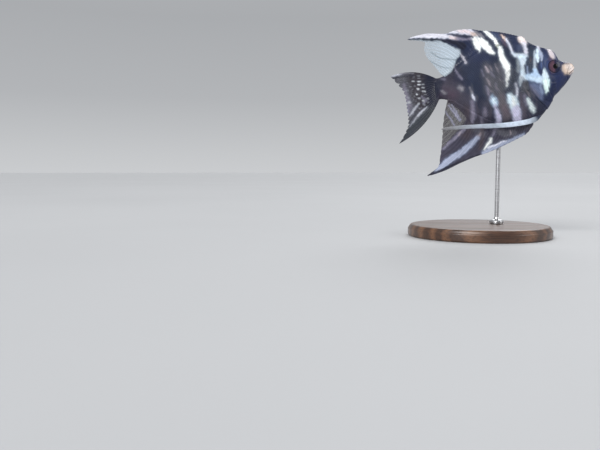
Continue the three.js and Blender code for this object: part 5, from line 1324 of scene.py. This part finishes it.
# ---------------------------------------------------------------- eyes
def eye(side, label):
    rings, back, around = 46, 14, 72
    r, bulge, depth = EYE["radius"], EYE["bulge"], EYE["depth"]
    pupil, limbus = 1.50, 3.05
    rho = np.concatenate([np.linspace(0.04, pupil, 14), np.linspace(pupil + 0.05, r, rings - 14)])
    a = 2 * np.pi * np.arange(around) / around
    angle = np.arcsin(np.clip(rho / r, 0, 1))
    dome = bulge - bulge * (1 - np.cos(angle)) ** 0.9
    lens = 0.16 * np.sqrt(np.clip(1 - (rho / pupil) ** 2, 0, 1))
    iris = -0.13 * smooth(pupil - 0.05, pupil + 0.25, rho) * smooth(r, limbus - 0.3, rho)
    height = dome * 0.82 + lens + iris
    X = rho[:, None] * np.cos(a)
    Zl = rho[:, None] * np.sin(a)
    H = np.repeat(height[:, None], around, 1)
    H += 0.018 * np.cos(a * 34 + 1.5 * np.sin(a * 5))[None, :] * (smooth(pupil, pupil + 0.3, rho) * smooth(limbus, limbus - 0.5, rho))[:, None]
    b = np.pi / 2 * np.arange(1, back) / back
    X = np.concatenate([X, (r * np.cos(b))[:, None] * np.cos(a)])
    Zl = np.concatenate([Zl, (r * np.cos(b))[:, None] * np.sin(a)])
    H = np.concatenate([H, np.repeat((-depth * np.sin(b))[:, None], around, 1)])
    n = len(X)
    # colours, with +x forwards and +z up: a red-brown ring, darker in front, crossed by the dark bar of the face
    R_ = np.hypot(X, Zl)
    base = linear((84, 60, 72))
    C = np.tile(base, (n, around, 1))
    C = mix(C, linear((26, 32, 58)), smooth(-0.9, 1.0, X))
    streaks = noise(np.arctan2(Zl, X) * 9, R_ * 0.9, 1.0, 71)
    C = C * (1 + 0.22 * streaks)[..., None]
    C = mix(C, linear((30, 32, 56)), smooth(1.5, 0.3, np.abs(X - 0.5)) * 0.6)
    C = mix(C, linear((104, 86, 88)), np.exp(-(((R_ - pupil - 0.12) / 0.09) ** 2)) * 0.18)
    C = mix(C, linear((36, 38, 58)), smooth(limbus - 0.2, limbus + 0.45, R_) * 0.6)
    C = mix(C, linear((7, 8, 11)), smooth(pupil + 0.07, pupil - 0.07, R_))
    C[rings:] = linear((24, 24, 32))
    P = np.stack([X, H, Zl], -1)
    if side < 0:
        P[..., 1] *= -1
    yaw = math.radians(-side * EYE["yaw"])
    c, s_ = math.cos(yaw), math.sin(yaw)
    P = np.stack([P[..., 0] * c - P[..., 1] * s_, P[..., 0] * s_ + P[..., 1] * c, P[..., 2]], -1)
    centre = np.array([EYE["x"], side * float(flank(np.array(EYE["x"]), np.array(EYE["z"]))) + float(sweep(EYE["x"])), EYE["z"]])
    top_y, low_y = height[0] + 0.0, -depth
    poles = np.array([[0, top_y * (1 if side > 0 else -1), 0], [0, low_y * (1 if side > 0 else -1), 0]])
    poles = np.stack([poles[:, 0] * c - poles[:, 1] * s_, poles[:, 0] * s_ + poles[:, 1] * c, poles[:, 2]], -1)
    verts = np.concatenate([P.reshape(-1, 3), poles]) + centre
    k = np.arange(around)
    caps = np.concatenate([
        np.stack([np.full(around, n * around), k, (k + 1) % around], -1),
        np.stack([np.full(around, n * around + 1), (n - 1) * around + (k + 1) % around, (n - 1) * around + k], -1)])
    grid = grid_faces(n, around, wrap=True)
    faces = [grid, caps]
    if volume(verts - centre, [grid]) < 0:
        faces[0] = grid[:, ::-1]
    if volume(verts - centre, [caps]) < 0:
        faces[1] = caps[:, ::-1]
    cols = np.concatenate([C.reshape(-1, 3), [linear((7, 8, 11)), linear((20, 20, 26))]])
    obj = piece("eyeball_" + label, world(verts), faces, EYE_MATERIAL, "eye", cols)
    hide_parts("eye_" + label)


eye(-1, "right")
eye(1, "left")


# ---------------------------------------------------------------- the stand
def turned(name, profile, steps, material, slot, node, at=(0, 0), top=None):
    """A turned solid from a smooth profile of (radius, z) in millimetres; top cuts it off by a height over (x, y)."""
    p = np.array(profile, float)
    a = 2 * np.pi * np.arange(steps) / steps
    X = at[0] + p[:, :1] * np.cos(a)
    Y = at[1] + p[:, :1] * np.sin(a)
    Z = np.repeat(p[:, 1:], steps, 1)
    ends = [[at[0], at[1], p[0, 1]], [at[0], at[1], p[-1, 1]]]
    if top is not None:
        limit = top(X, Y)
        Z = np.minimum(Z, limit)
        ends[1][2] = min(ends[1][2], float(top(np.array([at[0]]), np.array([at[1]]))[0]))
    n = len(p)
    verts = np.concatenate([np.stack([X, Y, Z], -1).reshape(-1, 3), np.array(ends)]) * 0.001
    k = np.arange(steps)
    caps = np.concatenate([
        np.stack([np.full(steps, n * steps), (k + 1) % steps, k], -1),
        np.stack([np.full(steps, n * steps + 1), (n - 1) * steps + k, (n - 1) * steps + (k + 1) % steps], -1)])
    middle = verts.mean(0)
    grid = grid_faces(n, steps, wrap=True)
    faces = [grid if volume(verts - middle, [grid]) > 0 else grid[:, ::-1], caps if volume(verts - middle, [caps]) > 0 else caps[:, ::-1]]
    obj = piece(name, verts, faces, material, slot)
    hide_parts(node)
    return obj


def rounded(corners, radius, steps=8):
    """A profile with its inner corners rounded."""
    out = [corners[0]]
    for (a, b, c), r in zip(zip(corners, corners[1:], corners[2:]), radius):
        a, b, c = np.array(a, float), np.array(b, float), np.array(c, float)
        u, v = (a - b) / np.linalg.norm(a - b), (c - b) / np.linalg.norm(c - b)
        r = min(r, np.linalg.norm(a - b) * 0.48, np.linalg.norm(c - b) * 0.48)
        p, q = b + u * r, b + v * r
        for k in range(steps + 1):
            t = k / steps
            out.append(tuple((1 - t) ** 2 * p + 2 * t * (1 - t) * b + t * t * q))
    out.append(corners[-1])
    return out


BASE_RADIUS, BASE_HEIGHT = 42.0, 7.0
disc = rounded([(0.5, 0), (BASE_RADIUS - 0.8, 0), (BASE_RADIUS, 0.8), (BASE_RADIUS, 4.6), (BASE_RADIUS - 0.5, 5.1), (BASE_RADIUS - 1.6, BASE_HEIGHT), (0.5, BASE_HEIGHT)], [0.4, 0.5, 0.4, 0.3, 1.4])
rings = [r for r in np.linspace(1.0, BASE_RADIUS - 4, 24)]
disc = disc[:1] + disc[1:-1] + [(float(r), BASE_HEIGHT) for r in rings[::-1]] + disc[-1:]
turned("stand_disc", disc, 192, WOOD_MATERIAL, "base_wood", "stand_base")

ROD_X, ROD_Y, ROD_R, FOOT_R = 12.0, 3.4, 1.3, 4.2
z0 = BASE_HEIGHT + 0.3


def fish_underside(x, y):
    """Height, in the part frame, where a vertical line first meets the skin from below (mm)."""
    c, s = math.cos(NOSE_UP), math.sin(NOSE_UP)
    z = np.linspace(60, 90, 601)
    fx = (x.ravel()[:, None] - TAIL_END[0]) * c + (z[None, :] - TAIL_END[1]) * s
    fz = -(x.ravel()[:, None] - TAIL_END[0]) * s + (z[None, :] - TAIL_END[1]) * c
    run, ss = locate(fx, fz)
    width = np.where((ss > 0) & (ss < 1), section_y(section(run, -SKIN_DEPTH), np.clip(ss, 0, 1)), -1.0)
    inside = width > np.abs(y.ravel()[:, None] - sweep(fx)) + 0.02
    first = np.argmax(inside, 1)
    return np.where(inside.any(1), z[first] + 0.12, 84.0).reshape(x.shape)


rod = rounded([(0.3, z0), (FOOT_R, z0), (FOOT_R, z0 + 1.5), (FOOT_R * 0.78, z0 + 2.2), (ROD_R + 0.55, z0 + 2.6), (ROD_R, z0 + 3.8), (ROD_R, z0 + 12)], [0.25, 0.35, 0.3, 0.5, 0.6])
rod += [(ROD_R, float(v)) for v in np.linspace(24, 72, 14)] + [(ROD_R, 84.0), (ROD_R * 0.66, 84.0), (ROD_R * 0.33, 84.0)]
turned("stand_column", rod, 48, STEEL_MATERIAL, "rod_steel", "stand_rod", at=(ROD_X, ROD_Y), top=fish_underside)


# ---------------------------------------------------------------- studio
def stage_floor():
    me = bpy.data.meshes.new("floor")
    n, r = 128, 60.0
    pts = [(0.0, 0.0, 0.0)] + [(r * math.cos(2 * math.pi * k / n), r * math.sin(2 * math.pi * k / n), 0.0) for k in range(n)]
    me.from_pydata(pts, [], [(0, 1 + k, 1 + (k + 1) % n) for k in range(n)])
    me.materials.append(FLOOR_MATERIAL)
    obj = bpy.data.objects.new("floor", me)
    bpy.context.scene.collection.objects.link(obj)


stage_floor()


def area_light(name, at, target, size, power, colour=(1, 1, 1)):
    data = bpy.data.lights.new(name, "AREA")
    data.shape, data.size, data.size_y = "RECTANGLE", size[0], size[1]
    data.energy, data.color = power, colour
    obj = bpy.data.objects.new(name, data)
    obj.location = at
    d = np.array(target, float) - np.array(at, float)
    yaw, pitch = math.atan2(d[0], -d[1]), math.atan2(math.hypot(d[0], d[1]), -d[2])
    obj.rotation_euler = (pitch, 0.0, math.atan2(d[1], d[0]) - math.pi / 2)
    bpy.context.scene.collection.objects.link(obj)


def far_light(name, towards, strength, softness, colour=(1, 1, 1)):
    """A broad light so far off that it falls evenly on the fish and on the whole floor."""
    data = bpy.data.lights.new(name, "SUN")
    data.energy, data.angle, data.color = strength, math.radians(softness), colour
    obj = bpy.data.objects.new(name, data)
    d = np.array(towards, float)
    obj.rotation_euler = (math.atan2(math.hypot(d[0], d[1]), d[2]), 0.0, math.atan2(d[1], d[0]) + math.pi / 2)
    bpy.context.scene.collection.objects.link(obj)


FISH_AT = (0.005, 0.0, 0.09)
far_light("key", (-0.42, -0.55, 0.72), 2.35, 32.0, (1.0, 0.99, 0.97))
far_light("rim", (0.30, 0.70, 0.62), 1.05, 32.0, (0.97, 0.98, 1.0))
area_light("front_left", (-1.35, -1.75, 0.62), FISH_AT, (1.0, 0.8), 15.0, (0.97, 0.98, 1.0))
area_light("front_right", (1.80, -0.75, 0.80), FISH_AT, (0.9, 0.8), 13.0, (1.0, 0.98, 0.96))

# a studio wall as pale as the floor where they meet, darker above, and dim in front where it mirrors in the fish
sky = bpy.data.worlds.new("studio")
bpy.context.scene.world = sky
sky.use_nodes = True
nt = sky.node_tree


def sky_node(kind, **settings):
    n = nt.nodes.new("ShaderNode" + kind)
    for k, v in settings.items():
        setattr(n, k, v)
    return n


def sky_ramp(stops):
    n = sky_node("ValToRGB")
    e = n.color_ramp.elements
    (e[0].position, e[0].color), (e[1].position, e[1].color) = stops[0], stops[-1]
    for at, shade in stops[1:-1]:
        e.new(at).color = shade
    return n


where, split = sky_node("TexCoord"), sky_node("SeparateXYZ")
wall = sky_ramp([(0.0, (0.590, 0.602, 0.618, 1)), (0.03, (0.560, 0.572, 0.588, 1)), (0.12, (0.450, 0.462, 0.480, 1)), (0.24, (0.400, 0.412, 0.430, 1)), (0.45, (0.46, 0.475, 0.49, 1)), (0.80, (0.40, 0.41, 0.43, 1))])
room = sky_ramp([(0.0, (0.235, 0.245, 0.262, 1)), (0.34, (0.42, 0.435, 0.455, 1)), (0.80, (0.40, 0.41, 0.43, 1))])
side = sky_node("MapRange", interpolation_type="SMOOTHSTEP")
side.inputs["From Min"].default_value, side.inputs["From Max"].default_value = -0.35, 0.45
blend = sky_node("Mix", data_type="RGBA")
nt.links.new(where.outputs["Generated"], split.inputs[0])
for n in (wall, room):
    nt.links.new(split.outputs[2], n.inputs[0])
nt.links.new(split.outputs[1], side.inputs["Value"])
nt.links.new(side.outputs[0], blend.inputs["Factor"])
nt.links.new(room.outputs[0], blend.inputs["A"])
nt.links.new(wall.outputs[0], blend.inputs["B"])
nt.links.new(blend.outputs["Result"], nt.nodes["Background"].inputs["Color"])
nt.nodes["Background"].inputs["Strength"].default_value = 1.0

scene = bpy.context.scene
scene.view_settings.view_transform = "Standard"
scene.view_settings.look = "None"
scene.view_settings.exposure = 0.0
scene.view_settings.gamma = 1.0

lens = bpy.data.cameras.new("camera")
lens.sensor_fit, lens.sensor_width, lens.lens = "HORIZONTAL", 36.0, 36.0
lens.clip_start, lens.clip_end = 0.005, 60.0
camera = bpy.data.objects.new("camera", lens)
camera.location = (-0.10806, -0.36217, 0.03828)
camera.rotation_euler = (math.radians(85.0), 0.0, 0.0)
scene.collection.objects.link(camera)
scene.camera = camera

bpy.context.view_layer.update()
